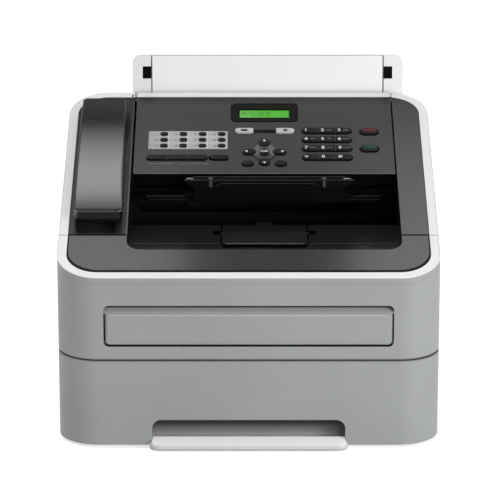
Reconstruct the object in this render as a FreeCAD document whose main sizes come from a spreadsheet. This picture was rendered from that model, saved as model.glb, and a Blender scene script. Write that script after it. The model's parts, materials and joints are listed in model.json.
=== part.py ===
import FreeCAD
import Part
import Sketcher
import math
import os

# Desk-top laser fax machine with a handset. X runs to the right, Y to the back, Z up.
# Millimetres; the origin is on the floor under the middle of the machine.

SIZES = {
    # overall form
    "body_width": 368.0,
    "front_face": 170.0,
    "rear_face": 160.0,
    "overall_rear": 180.0,
    "corner_radius": 40.0,
    "wall": 3.0,
    "foot_height": 4.0,
    "deck_front_z": 172.5,
    "deck_angle": 16.7,
    "rim_width": 9.0,
    "rim_depth": 6.0,
    "deck_plate": 3.0,
    "side_seam": 99.0,
    "seam": 1.5,
    "fit": 0.3,
    "deck_gap": 0.5,
    "bearing_play": 0.05,
    # paper cassette
    "tray_front_top": 88.0,
    "tray_web": 32.0,
    "grip_half": 93.0,
    "grip_top": 29.3,
    "grip_round": 9.0,
    "lip_half": 95.5,
    "lip_reach": 10.0,
    "lip_thick": 5.0,
    "lip_round": 10.0,
    "tray_clear": 1.5,
    "tray_half": 125.0,
    "tray_rear": 156.5,
    "tray_height": 34.5,
    "tray_wall": 2.5,
    "tray_flange": 4.0,
    "wing_inset": 9.5,
    "paper_length": 297.0,
    "paper_half": 105.5,
    "guide_height": 26.0,
    "side_guide_front": 15.0,
    "side_guide_length": 80.0,
    "guide_foot": 15.0,
    "rear_guide_half": 40.0,
    "lift_half": 100.0,
    "lift_rear": 17.0,
    "lift_thick": 1.2,
    # front cover and bypass flap
    "cover_gap": 2.0,
    "cover_pivot_back": 3.0,
    "cover_pivot_rise": 8.3,
    "cover_pin": 1.5,
    "cover_edge": 1.5,
    "bypass_half": 138.5,
    "bypass_low": 103.6,
    "bypass_high": 144.5,
    "bypass_depth": 12.5,
    "bypass_round": 5.0,
    "flap_gap": 1.5,
    "flap_low": 105.2,
    "flap_lip": 137.0,
    "flap_top": 142.5,
    "flap_deep": 11.0,
    "flap_pin": 1.2,
    "flap_pivot_back": 2.7,
    "flap_pivot_z": 107.2,
    "slot_half": 112.0,
    # output recess
    "recess_left": 117.8,
    "recess_right": 148.0,
    "recess_front": 123.4,
    "recess_round": 14.0,
    "ramp_z": 184.5,
    "ramp_back": 33.0,
    "ramp_thick": 7.0,
    "tongue_half": 8.0,
    "tongue_reach": 12.0,
    "stop_left": 26.0,
    "stop_right": 57.0,
    "stop_pivot": 60.0,
    "stop_tail": 2.2,
    "stop_thick": 3.2,
    "stop_room": 1.5,
    "stop_pin": 1.5,
    "stop_notch": 11.0,
    "well_front": 26.0,
    "well_front_z": 163.0,
    "well_back": 95.0,
    "well_back_z": 152.0,
    "tub_wall": 2.5,
    # frame and engine
    "frame_half": 130.0,
    "frame_plate": 4.0,
    "frame_front": 118.0,
    "frame_top": 146.0,
    "tower_top": 190.0,
    "engine_floor": 62.0,
    "laser_shelf": 119.5,
    "pickup_y": 105.0,
    "pickup_z": 53.0,
    "pickup_radius": 14.5,
    "pickup_width": 52.0,
    "shaft_radius": 3.0,
    "exit_y": 110.0,
    "exit_z": 168.0,
    "exit_radius": 7.0,
    # control panel
    "panel_left": 115.5,
    "panel_right": 146.5,
    "panel_front": 186.0,
    "panel_skirt": 10.5,
    "panel_shell": 2.5,
    "panel_depth": 14.0,
    "panel_pivot_back": 4.5,
    "panel_pivot_h": -3.2,
    "panel_pin": 1.6,
    "key_rise": 1.4,
    "key_depth": 7.0,
    "key_gap": 0.4,
    "digit_width": 16.6,
    "digit_length": 10.4,
    "digit_x": 79.3,
    "digit_s": 215.9,
    "digit_pitch": 17.1,
    "touch_width": 7.8,
    "touch_length": 6.6,
    "touch_x": -85.8,
    "touch_s": 238.0,
    "touch_pitch_x": 19.5,
    "touch_pitch_s": 11.3,
    "function_width": 18.8,
    "function_length": 8.8,
    "function_x": -93.0,
    "function_s": 215.5,
    "function_pitch": 20.8,
    "bezel_left": 18.3,
    "bezel_right": 50.5,
    "bezel_front": 285.4,
    "bezel_back": 322.3,
    "screen_left": 9.5,
    "screen_right": 41.9,
    "screen_front": 293.3,
    "screen_back": 309.6,
    # document scanner
    "path_gap": 3.0,
    "scanner_bottom": 200.0,
    "scanner_back": 150.0,
    "sill_left": 105.0,
    "sill_right": 135.0,
    "sill_front": 4.0,
    "sill_top": 206.0,
    "sill_back": 14.0,
    "sill_ramp": 9.0,
    "sill_round": 6.0,
    "catch_left": 64.0,
    "catch_right": 105.0,
    "catch_thick": 2.5,
    "catch_run": 78.0,
    "catch_face": 10.7,
    "catch_rise": 20.2,
    "catch_wing": 10.0,
    "catch_lug": 28.0,
    "feed_roller": 9.0,
    "feed_s": 300.0,
    "feed_h": -24.5,
    "feed_left": 55.0,
    "feed_right": 85.0,
    # document support
    "support_y": 168.0,
    "support_drop": 9.5,
    "support_lean": 8.0,
    "support_left": 121.0,
    "support_right": 160.5,
    "support_top": 46.4,
    "support_low": 22.0,
    "support_round": 9.0,
    "slide_low": 14.0,
    "support_plate": 2.5,
    "stile_left": 101.0,
    "stile_right": 140.0,
    "window_width": 9.0,
    "window_low": 21.9,
    "window_high": 34.7,
    # handset and cradle
    "handset_left": 170.0,
    "handset_right": 123.1,
    "handset_taper": 2.8,
    "handset_front": 95.0,
    "handset_back": 310.0,
    "handset_split": 4.8,
    "handset_top": 18.5,
    "handset_crown": 1300.0,
    "handset_round": 5.0,
    "handset_edge": 1.5,
    "handset_inset": 1.5,
    "cup_length": 46.0,
    "cup_depth": 13.5,
    "cup_inset": 4.5,
    "slot_long": 16.0,
    "slot_wide": 1.6,
    "mouth_cup": 113.0,
    "ear_cup": 246.0,
    "cup_room": 1.0,
    "cradle_depth": 22.0,
    "scoop_s": 93.0,
    "scoop_radius": 18.0,
    "scoop_rise": 10.0,
    "hook_s": 200.0,
    "hook_width": 8.0,
    "hook_length": 6.0,
    # rear door, sockets and switch
    "door_low": 41.0,
    "door_high": 189.5,
    "door_pivot_y": 165.0,
    "door_pivot_z": 46.0,
    "door_pin": 2.0,
    "lug_x": 100.0,
    "lug_width": 6.0,
    "socket_size": 14.0,
    "board_x": 150.0,
    "inlet_y": 74.0,
    "inlet_z": 42.0,
    "inlet_width": 28.0,
    "inlet_height": 21.0,
    "switch_y": -36.0,
    "switch_z": 70.0,
    "switch_width": 13.0,
    "switch_height": 21.0,
    "vent_width": 3.2,
    "vent_height": 34.0,
    "vent_pitch": 8.0,
}


class Size:
    """A number together with the sheet expression that yields it."""

    def __init__(self, value, text):
        self.value = value
        self.text = text

    def __add__(self, other):
        other = as_size(other)
        return Size(self.value + other.value, f"({self.text} + {other.text})")

    def __sub__(self, other):
        other = as_size(other)
        return Size(self.value - other.value, f"({self.text} - {other.text})")

    def __mul__(self, other):
        other = as_size(other)
        return Size(self.value * other.value, f"({self.text} * {other.text})")

    def __truediv__(self, other):
        other = as_size(other)
        return Size(self.value / other.value, f"({self.text} / {other.text})")

    def __neg__(self):
        return Size(-self.value, f"(0 - {self.text})")

    __radd__ = __add__
    __rmul__ = __mul__

    def __rsub__(self, other):
        return as_size(other) - self


def as_size(number):
    if isinstance(number, Size):
        return number
    return Size(float(number), f"({float(number)})")


def sin(angle):
    return Size(math.sin(math.radians(angle.value)), f"sin({angle.text})")


def cos(angle):
    return Size(math.cos(math.radians(angle.value)), f"cos({angle.text})")


def tan(angle):
    return Size(math.tan(math.radians(angle.value)), f"tan({angle.text})")


class Table:
    """The driving sizes, one attribute each."""


doc = FreeCAD.newDocument("FaxMachine")
sheet = doc.addObject("Spreadsheet::Sheet", "sizes")
S = Table()
for row, (alias, number) in enumerate(SIZES.items(), 1):
    sheet.set(f"A{row}", alias.replace("_", " "))
    sheet.set(f"B{row}", str(number))
    sheet.setAlias(f"B{row}", alias)
    setattr(S, alias, Size(number, f"sizes.{alias}"))
doc.recompute()

HALF = S.body_width / 2
FRONT = -S.front_face
COVER_END = -S.side_seam - S.seam / 2
REAR_START = -S.side_seam + S.seam / 2
RIM_X = HALF - S.rim_width
RIM_FRONT = FRONT + S.rim_width
RIM_REAR = S.rear_face - S.rim_width
BEYOND = as_size(1.0)


def deck_z(y):
    """Height of the sloping deck at y."""
    return S.deck_front_z + (y - FRONT) * tan(S.deck_angle)


SUPPORT_Z = deck_z(S.rear_face) - S.support_drop
PANEL_BACK = (RIM_REAR - FRONT) / cos(S.deck_angle)
PANEL_REAR = (S.rear_face - FRONT) / cos(S.deck_angle)
PANEL_PIVOT = (PANEL_REAR - S.panel_pivot_back, S.panel_pivot_h)


def deck_point(along, above):
    """Y and Z of a point given along the deck from its front edge and above it."""
    y = FRONT + along * cos(S.deck_angle) - above * sin(S.deck_angle)
    z = S.deck_front_z + along * sin(S.deck_angle) + above * cos(S.deck_angle)
    return y, z


# Each drawing plane has its base plane, the sense of its depth against that plane's
# normal, and a way from a point in space to across, up and depth.
def local_xy(point):
    return point.x, point.y, point.z


def local_xz(point):
    return point.x, point.z, point.y


def local_yz(point):
    return point.y, point.z, point.x


def local_deck(point):
    run = point.y - FRONT.value
    rise = point.z - S.deck_front_z.value
    c = cos(S.deck_angle).value
    s = sin(S.deck_angle).value
    return point.x, run * c + rise * s, rise * c - run * s


def local_lean(point):
    run = point.y - S.support_y.value
    rise = point.z - SUPPORT_Z.value
    c = cos(S.support_lean).value
    s = sin(S.support_lean).value
    return point.x, rise * c + run * s, run * c - rise * s


PLANES = {
    "XY": ("XY_Plane", 1, local_xy),
    "XZ": ("XZ_Plane", -1, local_xz),
    "YZ": ("YZ_Plane", 1, local_yz),
    "DECK": ("XY_Plane", 1, local_deck),
    "LEAN": ("XZ_Plane", -1, local_lean),
}


def bind(item, path, amount):
    item.setExpression(path, as_size(amount).text)


def place_sketch(sketch, plane, start):
    """Puts a sketch at a depth of its drawing plane."""
    start = as_size(start)
    turn = FreeCAD.Rotation()
    tilt = None
    if plane == "DECK":
        y, z = deck_point(as_size(0.0), start)
        base = (as_size(0.0), y, z)
        tilt = S.deck_angle
        turn = FreeCAD.Rotation(FreeCAD.Vector(1, 0, 0), tilt.value)
    elif plane == "LEAN":
        y = S.support_y + start * cos(S.support_lean)
        z = SUPPORT_Z - start * sin(S.support_lean)
        base = (as_size(0.0), z, -y)
        tilt = S.support_lean
        turn = FreeCAD.Rotation(FreeCAD.Vector(-1, 0, 0), tilt.value)
    else:
        base = (as_size(0.0), as_size(0.0), start * PLANES[plane][1])
    corner = FreeCAD.Vector(*[part.value for part in base])
    sketch.AttachmentOffset = FreeCAD.Placement(corner, turn)
    for axis, part in zip("xyz", base):
        bind(sketch, f"AttachmentOffset.Base.{axis}", part)
    if tilt:
        bind(sketch, "AttachmentOffset.Rotation.Angle", tilt)


def fixed(geometry, vertex, across, up):
    """Rules that tie one point of a sketch to its two sizes."""
    rules = []
    for kind, amount in (("DistanceX", as_size(across)), ("DistanceY", as_size(up))):
        rules.append((Sketcher.Constraint(kind, -1, 1, geometry, vertex, amount.value), amount))
    return rules


def apply_rules(sketch, rules):
    """Adds constraints to a sketch, those with a size bound to it."""
    indices = sketch.addConstraint([rule for rule, _ in rules])
    for index, (_, amount) in zip(indices, rules):
        if amount is not None:
            bind(sketch, f"Constraints[{index}]", amount)


def outline(*corners):
    """A closed outline of straight sides."""
    corners = [(as_size(u), as_size(v)) for u, v in corners]

    def draw(sketch):
        first = sketch.GeometryCount
        count = len(corners)
        points = [FreeCAD.Vector(u.value, v.value, 0) for u, v in corners]
        for i in range(count):
            sketch.addGeometry(Part.LineSegment(points[i], points[(i + 1) % count]))
        rules = []
        for i in range(count):
            following = first + (i + 1) % count
            rules.append((Sketcher.Constraint("Coincident", first + i, 2, following, 1), None))
            rules += fixed(first + i, 1, *corners[i])
        apply_rules(sketch, rules)

    return draw


def rect(left, right, low, high):
    return outline((left, low), (right, low), (right, high), (left, high))


def disc(across, up, radius):
    """A circle."""
    across, up, radius = as_size(across), as_size(up), as_size(radius)

    def draw(sketch):
        centre = FreeCAD.Vector(across.value, up.value, 0)
        index = sketch.addGeometry(Part.Circle(centre, FreeCAD.Vector(0, 0, 1), radius.value))
        rules = fixed(index, 3, across, up)
        rules.append((Sketcher.Constraint("Radius", index, radius.value), radius))
        apply_rules(sketch, rules)

    return draw


def rounded(left, right, low, high, radius):
    """A rectangle with round corners."""
    left, right, low, high = (as_size(part) for part in (left, right, low, high))
    radius = as_size(radius)

    def draw(sketch):
        first = sketch.GeometryCount
        r = radius.value
        a, b, c, d = left.value, right.value, low.value, high.value
        normal = FreeCAD.Vector(0, 0, 1)
        sides = (
            ((a + r, c), (b - r, c)),
            ((b, c + r), (b, d - r)),
            ((b - r, d), (a + r, d)),
            ((a, d - r), (a, c + r)),
        )
        middles = ((b - r, c + r), (b - r, d - r), (a + r, d - r), (a + r, c + r))
        for start, end in sides:
            line = Part.LineSegment(FreeCAD.Vector(*start, 0), FreeCAD.Vector(*end, 0))
            sketch.addGeometry(line)
        for turn, middle in enumerate(middles):
            circle = Part.Circle(FreeCAD.Vector(*middle, 0), normal, r)
            begin = math.radians(90.0 * turn - 90.0)
            sketch.addGeometry(Part.ArcOfCircle(circle, begin, begin + math.pi / 2))
        rules = [
            (Sketcher.Constraint("Radius", first + 4, r), radius),
            (Sketcher.Constraint("DistanceY", -1, 1, first, 1, c), low),
            (Sketcher.Constraint("DistanceX", -1, 1, first + 1, 1, b), right),
            (Sketcher.Constraint("DistanceY", -1, 1, first + 2, 1, d), high),
            (Sketcher.Constraint("DistanceX", -1, 1, first + 3, 1, a), left),
        ]
        for i in range(4):
            arc = first + 4 + i
            following = first + (i + 1) % 4
            level = "Horizontal" if i % 2 == 0 else "Vertical"
            rules.append((Sketcher.Constraint("Tangent", first + i, 2, arc, 1), None))
            rules.append((Sketcher.Constraint("Tangent", arc, 2, following, 1), None))
            rules.append((Sketcher.Constraint(level, first + i), None))
            if i:
                rules.append((Sketcher.Constraint("Equal", first + 4, arc), None))
        apply_rules(sketch, rules)

    return draw


nodes = []


def new_body(label):
    body = doc.addObject("PartDesign::Body", label)
    body.Label = label
    body.Placement = FreeCAD.Placement()
    nodes.append(body)
    return body


def volume(body):
    return 0.0 if body.Tip is None else body.Shape.Volume


def extrude(kind, body, plane, start, length, drawings):
    """Pads or pockets outlines from a depth of the plane, along its depth."""
    before = volume(body)
    role, sense, _ = PLANES[plane]
    sketch = body.newObject("Sketcher::SketchObject", f"{body.Label}_outline")
    support = [item for item in body.Origin.OriginFeatures if item.Role == role]
    sketch.AttachmentSupport = [(support[0], "")]
    sketch.MapMode = "FlatFace"
    place_sketch(sketch, plane, start)
    for draw in drawings:
        draw(sketch)
    feature = body.newObject(f"PartDesign::{kind}", f"{body.Label}_{kind.lower()}")
    feature.Profile = sketch
    bind(feature, "Length", length)
    feature.Reversed = (sense < 0) == (kind == "Pad")
    doc.recompute()
    if abs(volume(body) - before) < 1e-6:
        raise ValueError(f"{feature.Name} changes nothing")
    return feature


def pad(body, plane, start, end, *drawings):
    return extrude("Pad", body, plane, start, as_size(end) - start, drawings)


def pocket(body, plane, start, end, *drawings):
    return extrude("Pocket", body, plane, start, as_size(end) - start, drawings)


def dress(kind, body, amount_name, amount, names):
    """Rounds or bevels the named edges of a body."""
    base = body.Tip
    feature = body.newObject(f"PartDesign::{kind}", f"{body.Label}_{kind.lower()}")
    feature.Base = (base, names)
    bind(feature, amount_name, amount)
    doc.recompute()
    if "Invalid" in feature.State:
        raise ValueError(f"{feature.Name} cannot be made")


def corner_edges(body, plane, corners):
    """Names of the edges that run along the plane's depth through these corners."""
    to_local = PLANES[plane][2]
    names = []
    for index, edge in enumerate(body.Tip.Shape.Edges, 1):
        ends = [to_local(vertex.Point) for vertex in edge.Vertexes]
        for u, v in corners:
            spot = (as_size(u).value, as_size(v).value)
            if len(ends) == 2 and all(math.dist(end[:2], spot) < 0.01 for end in ends):
                names.append(f"Edge{index}")
    if len(names) < len(corners):
        raise ValueError(f"{body.Label}: corner not found")
    return names


def round_corners(body, plane, radius, *corners):
    dress("Fillet", body, "Radius", radius, corner_edges(body, plane, corners))


def bevel_corners(body, plane, size, *corners):
    dress("Chamfer", body, "Size", size, corner_edges(body, plane, corners))


def repeat(body, feature, axis, pitch, count):
    """Repeats a pad or pocket along an axis of its sketch."""
    pattern = body.newObject("PartDesign::LinearPattern", f"{body.Label}_pattern")
    pattern.Originals = [feature]
    pattern.Direction = (feature.Profile[0], [axis])
    bind(pattern, "Length", pitch * (count - 1))
    pattern.Occurrences = count
    body.Tip = pattern
    doc.recompute()
    return pattern


def trim_deck(body, low, high):
    """Keeps what lies between two drops below the deck plane."""
    near = FRONT - 3 * S.lip_reach
    far = S.rear_face + 3 * S.lip_reach
    sky = deck_z(far) + S.wall
    ground = S.foot_height - S.wall
    left = -HALF - BEYOND
    right = HALF + BEYOND
    if high is not None:
        line = ((near, deck_z(near) - high), (far, deck_z(far) - high))
        pocket(body, "YZ", left, right, outline(*line, (far, sky), (near, sky)))
    if low is not None:
        line = ((far, deck_z(far) - low), (near, deck_z(near) - low))
        pocket(body, "YZ", left, right, outline((near, ground), (far, ground), *line))


def span(side, inner, outer):
    """Left and right ends of a stretch on one side of the middle."""
    inner, outer = as_size(inner), as_size(outer)
    return (inner, outer) if side > 0 else (-outer, -inner)


# Paper cassette
TRAY_FLOOR = S.tray_clear + S.wall
TRAY_TOP = S.tray_clear + S.tray_height
LIP_TOP = S.tray_clear + S.lip_thick
PAPER_BACK = S.tray_rear - 2 * S.tray_wall - S.deck_gap
PAPER_FRONT = PAPER_BACK - S.paper_length
TRAY_FRONT = PAPER_FRONT - S.tray_wall
GRIP_BACK = TRAY_FRONT - S.fit - S.tray_wall


def make_tray_front():
    body = new_body("tray_front")
    low = S.foot_height
    top = S.tray_front_top
    inner = HALF - S.wall
    pad(body, "XY", low, top, rect(-HALF, HALF, FRONT, COVER_END))
    round_corners(body, "XY", S.corner_radius, (-HALF, FRONT), (HALF, FRONT))
    end = COVER_END + S.corner_radius
    hollow = rounded(-inner, inner, FRONT + S.wall, end, S.corner_radius - S.wall)
    pocket(body, "XY", low - BEYOND, top - S.wall, hollow)
    open_top = rect(BEYOND - inner, inner - BEYOND, FRONT + S.tray_web, COVER_END + BEYOND)
    pocket(body, "XY", top - S.wall - BEYOND, top + BEYOND, open_top)
    shelf = LIP_TOP + S.deck_gap
    block = rect(-S.lip_half, S.lip_half, FRONT + S.wall / 2, GRIP_BACK + S.tray_wall)
    pad(body, "XY", shelf, S.grip_top + S.tray_wall, block)
    grip = rect(-S.grip_half, S.grip_half, low - BEYOND, S.grip_top)
    pocket(body, "XZ", FRONT - BEYOND, GRIP_BACK, grip)
    corners = ((-S.grip_half, S.grip_top), (S.grip_half, S.grip_top))
    round_corners(body, "XZ", S.grip_round, *corners)
    lip_way = S.lip_half + S.fit
    way = rect(-lip_way, lip_way, low - BEYOND, shelf)
    pocket(body, "XZ", FRONT - BEYOND, GRIP_BACK + S.wall, way)


def make_tray_box():
    body = new_body("tray_box")
    low = S.tray_clear
    side = S.tray_half - S.tray_wall
    pad(body, "XY", low, TRAY_TOP, rect(-S.tray_half, S.tray_half, TRAY_FRONT, S.tray_rear))
    well = rect(-side, side, PAPER_FRONT, S.tray_rear - S.tray_wall)
    pocket(body, "XY", TRAY_FLOOR, TRAY_TOP + BEYOND, well)
    for hand in (-1, 1):
        flange = rect(*span(hand, side, S.tray_half + S.tray_flange), PAPER_FRONT, S.tray_rear)
        pad(body, "XY", TRAY_TOP - S.tray_wall, TRAY_TOP, flange)
    wing = HALF - S.wing_inset
    pad(body, "XY", TRAY_FLOOR, TRAY_TOP, rect(-wing, wing, TRAY_FRONT, PAPER_FRONT))
    tip = FRONT - S.lip_reach
    pad(body, "XY", low, LIP_TOP, rect(-S.lip_half, S.lip_half, tip, PAPER_FRONT))
    round_corners(body, "XY", S.lip_round, (-S.lip_half, tip), (S.lip_half, tip))
    round_corners(body, "YZ", S.lip_thick / 3, (tip, LIP_TOP))


def make_side_guide(label, hand):
    body = new_body(label)
    low = TRAY_FLOOR + S.fit
    foot = low + S.wall
    top = TRAY_FLOOR + S.guide_height
    inner = S.paper_half * hand
    outer = (S.paper_half + S.guide_foot) * hand
    upright = (S.paper_half + S.tray_wall) * hand
    profile = outline(
        (inner, low), (outer, low), (outer, foot), (upright, foot + S.wall),
        (upright, top), (inner, top))
    front = S.side_guide_front
    pad(body, "XZ", front, front + S.side_guide_length, profile)
    slot = S.side_guide_length / 4
    window = rect(front + slot, front + 3 * slot, foot + 2 * S.wall, top - S.wall)
    through = span(hand, S.paper_half - BEYOND, S.paper_half + S.tray_wall + BEYOND)
    pocket(body, "YZ", *through, window)


def make_rear_guide():
    body = new_body("rear_guide")
    low = TRAY_FLOOR + S.fit
    foot = low + S.wall
    top = TRAY_FLOOR + S.guide_height
    toe = PAPER_BACK - S.guide_foot
    heel = PAPER_BACK + S.tray_wall
    profile = outline(
        (toe, low), (heel, low), (heel, top), (PAPER_BACK, top), (PAPER_BACK, foot), (toe, foot))
    pad(body, "YZ", -S.rear_guide_half, S.rear_guide_half, profile)
    corners = ((-S.rear_guide_half, top), (S.rear_guide_half, top))
    round_corners(body, "XZ", S.guide_height / 4, *corners)


def make_lift_plate():
    body = new_body("lift_plate")
    low = TRAY_FLOOR + S.deck_gap
    front = PAPER_FRONT + S.wing_inset
    sheet_metal = rect(-S.lift_half, S.lift_half, front, -S.lift_rear)
    pad(body, "XY", low, low + S.lift_thick, sheet_metal)
    pivot = disc(-S.lift_rear, low + S.lift_thick, S.lift_thick)
    pad(body, "YZ", -S.lift_half, S.lift_half, pivot)
    middle = (front - S.lift_rear) / 2
    reach = S.lift_half / 5
    holes = [rect(hand * S.lift_half / 2 - reach, hand * S.lift_half / 2 + reach,
                  middle - reach, middle + reach) for hand in (-1, 1)]
    pocket(body, "XY", low - BEYOND, low + S.lift_thick + BEYOND, *holes)


# Frame, covers and what they carry
FRAME_OUT = S.frame_half + S.frame_plate
FRAME_REAR = S.rear_face - S.fit
COVER_PIVOT = (FRONT + S.wall + S.cover_pivot_back, S.tray_front_top + S.cover_pivot_rise)
WRAP = FRAME_OUT + S.deck_gap
TOWER_FRONT = S.well_back + S.tub_wall + S.seam


def make_base_chassis():
    body = new_body("base_chassis")
    low = S.foot_height
    pivot_y, pivot_z = COVER_PIVOT
    arm_low = pivot_z - 1.5 * S.cover_pin
    arm_top = pivot_z + 2.5 * S.cover_pin
    arm_end = pivot_y - 1.7 * S.cover_pin
    knee = -S.frame_front + 8 * S.wall
    side = outline(
        (-S.frame_front, low), (FRAME_REAR, low), (FRAME_REAR, S.tower_top),
        (TOWER_FRONT, S.tower_top), (TOWER_FRONT, S.frame_top), (knee, S.frame_top),
        (-S.frame_front, S.laser_shelf), (-S.frame_front, arm_top), (arm_end, arm_top),
        (arm_end, pivot_z - 0.6 * S.cover_pin), (pivot_y - 0.9 * S.cover_pin, arm_low),
        (-S.frame_front, arm_low))
    for hand in (-1, 1):
        ends = span(hand, S.frame_half, FRAME_OUT)
        pad(body, "YZ", *ends, side)
    across = S.frame_half + BEYOND
    floor = rect(-across, across, -S.frame_front + 28.0, S.scanner_back)
    pad(body, "XY", S.engine_floor, S.engine_floor + S.wall, floor)
    shelf = rect(-across, across, -10 * S.wall, S.well_back - 2 * S.wall)
    pad(body, "XY", S.laser_shelf, S.laser_shelf + S.tray_wall, shelf)
    rail_out = HALF - S.wall - S.fit
    for hand in (-1, 1):
        rail_end = FRAME_REAR - S.wall - S.fit
        rail = rect(*span(hand, S.frame_half, rail_out), REAR_START + BEYOND, rail_end)
        pad(body, "XY", low, low + S.wall, rail)
        round_corners(body, "XY", S.corner_radius - S.wall, (rail_out * hand, rail_end))
        ledge_top = TRAY_TOP - S.tray_wall - S.fit
        ledge_side = span(hand, S.tray_half + BEYOND + S.fit, across)
        ledge = rect(*ledge_side, -S.frame_front + 22.0, S.scanner_back)
        pad(body, "XY", ledge_top - S.wall, ledge_top, ledge)
    beam_top = low + TRAY_TOP
    beam = rect(-across, across, S.tray_rear + S.deck_gap, FRAME_REAR)
    pad(body, "XY", low, beam_top, beam)
    lug = 2 * S.door_pin
    for hand in (-1, 1):
        ends = span(hand, S.lug_x, S.lug_x + S.lug_width)
        plate = rect(S.tray_rear + S.deck_gap, S.door_pivot_y, beam_top - S.wall, S.door_pivot_z + lug)
        pad(body, "YZ", *ends, plate)
        pad(body, "YZ", *ends, disc(S.door_pivot_y, S.door_pivot_z, lug))
    far = HALF
    bores = (
        disc(pivot_y, pivot_z, S.cover_pin + S.bearing_play),
        disc(-S.pickup_y, S.pickup_z, S.shaft_radius + S.bearing_play),
        disc(S.exit_y, S.exit_z, S.shaft_radius + S.bearing_play),
        disc(S.door_pivot_y, S.door_pivot_z, S.door_pin + S.bearing_play))
    pocket(body, "YZ", -far, far, *bores)


def make_side_cover(label, hand):
    body = new_body(label)
    top = deck_z(S.rear_face)
    outer = rect(*span(hand, WRAP, HALF), REAR_START, S.rear_face)
    pad(body, "XY", S.foot_height, top, outer)
    round_corners(body, "XY", S.corner_radius, (HALF * hand, S.rear_face))
    inner_x = HALF - S.wall
    inner_y = S.rear_face - S.wall
    inner_round = S.corner_radius - S.wall
    across = span(hand, WRAP - S.corner_radius, inner_x)
    hollow = rounded(*across, REAR_START - S.corner_radius, inner_y, inner_round)
    pocket(body, "XY", S.foot_height - BEYOND, top + BEYOND, hollow)
    trim_deck(body, None, S.rim_depth + S.fit)
    through = span(hand, inner_x - BEYOND, HALF + BEYOND)
    first = -S.vent_pitch * 4
    half = S.vent_width / 2
    vent = rect(first - half, first + half, S.frame_top - S.vent_height, S.frame_top)
    repeat(body, pocket(body, "YZ", *through, vent), "H_Axis", S.vent_pitch, 9)
    return body, through


def frame_of(middle_y, middle_z, width, height, room):
    """A rectangle about a middle, with room all round."""
    across = width / 2 + room
    up = height / 2 + room
    return rect(middle_y - across, middle_y + across, middle_z - up, middle_z + up)


SOCKETS = [(as_size(y), as_size(z)) for y, z in ((-60.0, 70.0), (80.0, 58.0), (101.0, 58.0))]
BEAM_TOP = SUPPORT_Z - S.support_low + 2 * S.wall


def make_covers():
    body, through = make_side_cover("left_side_cover", -1)
    holes = [frame_of(y, z, S.socket_size, S.socket_size, S.fit) for y, z in SOCKETS]
    pocket(body, "YZ", *through, *holes)
    body, through = make_side_cover("right_side_cover", 1)
    inlet = frame_of(S.inlet_y, S.inlet_z, S.inlet_width, S.inlet_height, S.fit)
    switch = frame_of(S.switch_y, S.switch_z, S.switch_width, S.switch_height, S.deck_gap)
    pocket(body, "YZ", *through, inlet, switch)
    top = deck_z(S.rear_face)
    bay = rect(WRAP - BEYOND, S.recess_right + S.fit, BEAM_TOP, top + BEYOND)
    pocket(body, "XZ", S.rear_face - S.wall - BEYOND, S.rear_face + BEYOND, bay)


def make_main_board():
    body = new_body("main_board")
    ends = (SOCKETS[0][0] - S.socket_size, SOCKETS[2][0] + S.socket_size)
    board = rect(*ends, S.socket_size * 3, S.frame_top)
    pad(body, "YZ", -S.board_x, -S.board_x + S.lift_thick + 0.4, board)
    outer = -HALF + S.deck_gap
    half = S.socket_size / 2
    jacks = [frame_of(y, z, S.socket_size, S.socket_size, as_size(0.0)) for y, z in SOCKETS]
    pad(body, "YZ", outer, -S.board_x + BEYOND, *jacks)
    mouths = [rect(y - half * 0.75, y + half * 0.75, z - half * 0.6, z + half * 0.6) for y, z in SOCKETS]
    pocket(body, "YZ", outer - BEYOND, outer + S.socket_size, *mouths)
    chips = [rect(y, y + 24.0, z, z + 24.0) for y, z in ((-20.0, 96.0), (20.0, 70.0), (44.0, 108.0))]
    pad(body, "YZ", -S.board_x - S.wall, -S.board_x + BEYOND, *chips)
    post = 2 * S.wall
    stays = [rect(y - post, y, z - post, z) for y in (-50.0, 98.0) for z in (92.0, 138.0)]
    pad(body, "YZ", -S.board_x + BEYOND, -FRAME_OUT - S.fit, *stays)


def make_power_inlet():
    body = new_body("power_inlet")
    outer = HALF - S.deck_gap
    depth = S.inlet_height + S.wall
    shell = frame_of(S.inlet_y, S.inlet_z, S.inlet_width, S.inlet_height, as_size(0.0))
    pad(body, "YZ", outer - depth, outer, shell)
    across = (S.inlet_width - S.wall) / 2
    up = (S.inlet_height - S.wall) / 2
    well = rounded(S.inlet_y - across, S.inlet_y + across, S.inlet_z - up, S.inlet_z + up, S.wall)
    pocket(body, "YZ", outer - S.inlet_height, outer + BEYOND, well)
    pins = [frame_of(S.inlet_y + side * 7.0, S.inlet_z - lift, as_size(2.0), as_size(4.0), as_size(0.0))
            for side, lift in ((-1, 2.0), (0, -2.0), (1, 2.0))]
    pad(body, "YZ", outer - S.inlet_height - BEYOND, outer - 2.5 * S.wall, *pins)


def make_power_switch():
    body = new_body("power_switch")
    outer = HALF - S.deck_gap
    pivot = outer - 3 * S.wall
    half = S.switch_height / 2
    tilt = as_size(1.4)
    profile = outline(
        (pivot, S.switch_z - half), (outer - tilt, S.switch_z - half), (outer - tilt, S.switch_z),
        (outer, S.switch_z + half), (pivot, S.switch_z + half))
    half_wide = S.switch_width / 2
    pad(body, "XZ", S.switch_y - half_wide, S.switch_y + half_wide, profile)


def make_rubber_feet():
    body = new_body("rubber_feet")
    foot = S.foot_height * 4
    pads = [key_hole(x * (HALF - S.corner_radius), y, foot, foot) for x in (-1, 1)
            for y in (-S.side_seam + foot, S.rear_face - S.corner_radius)]
    pad(body, "XY", as_size(0.0), S.foot_height, *pads)


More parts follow.
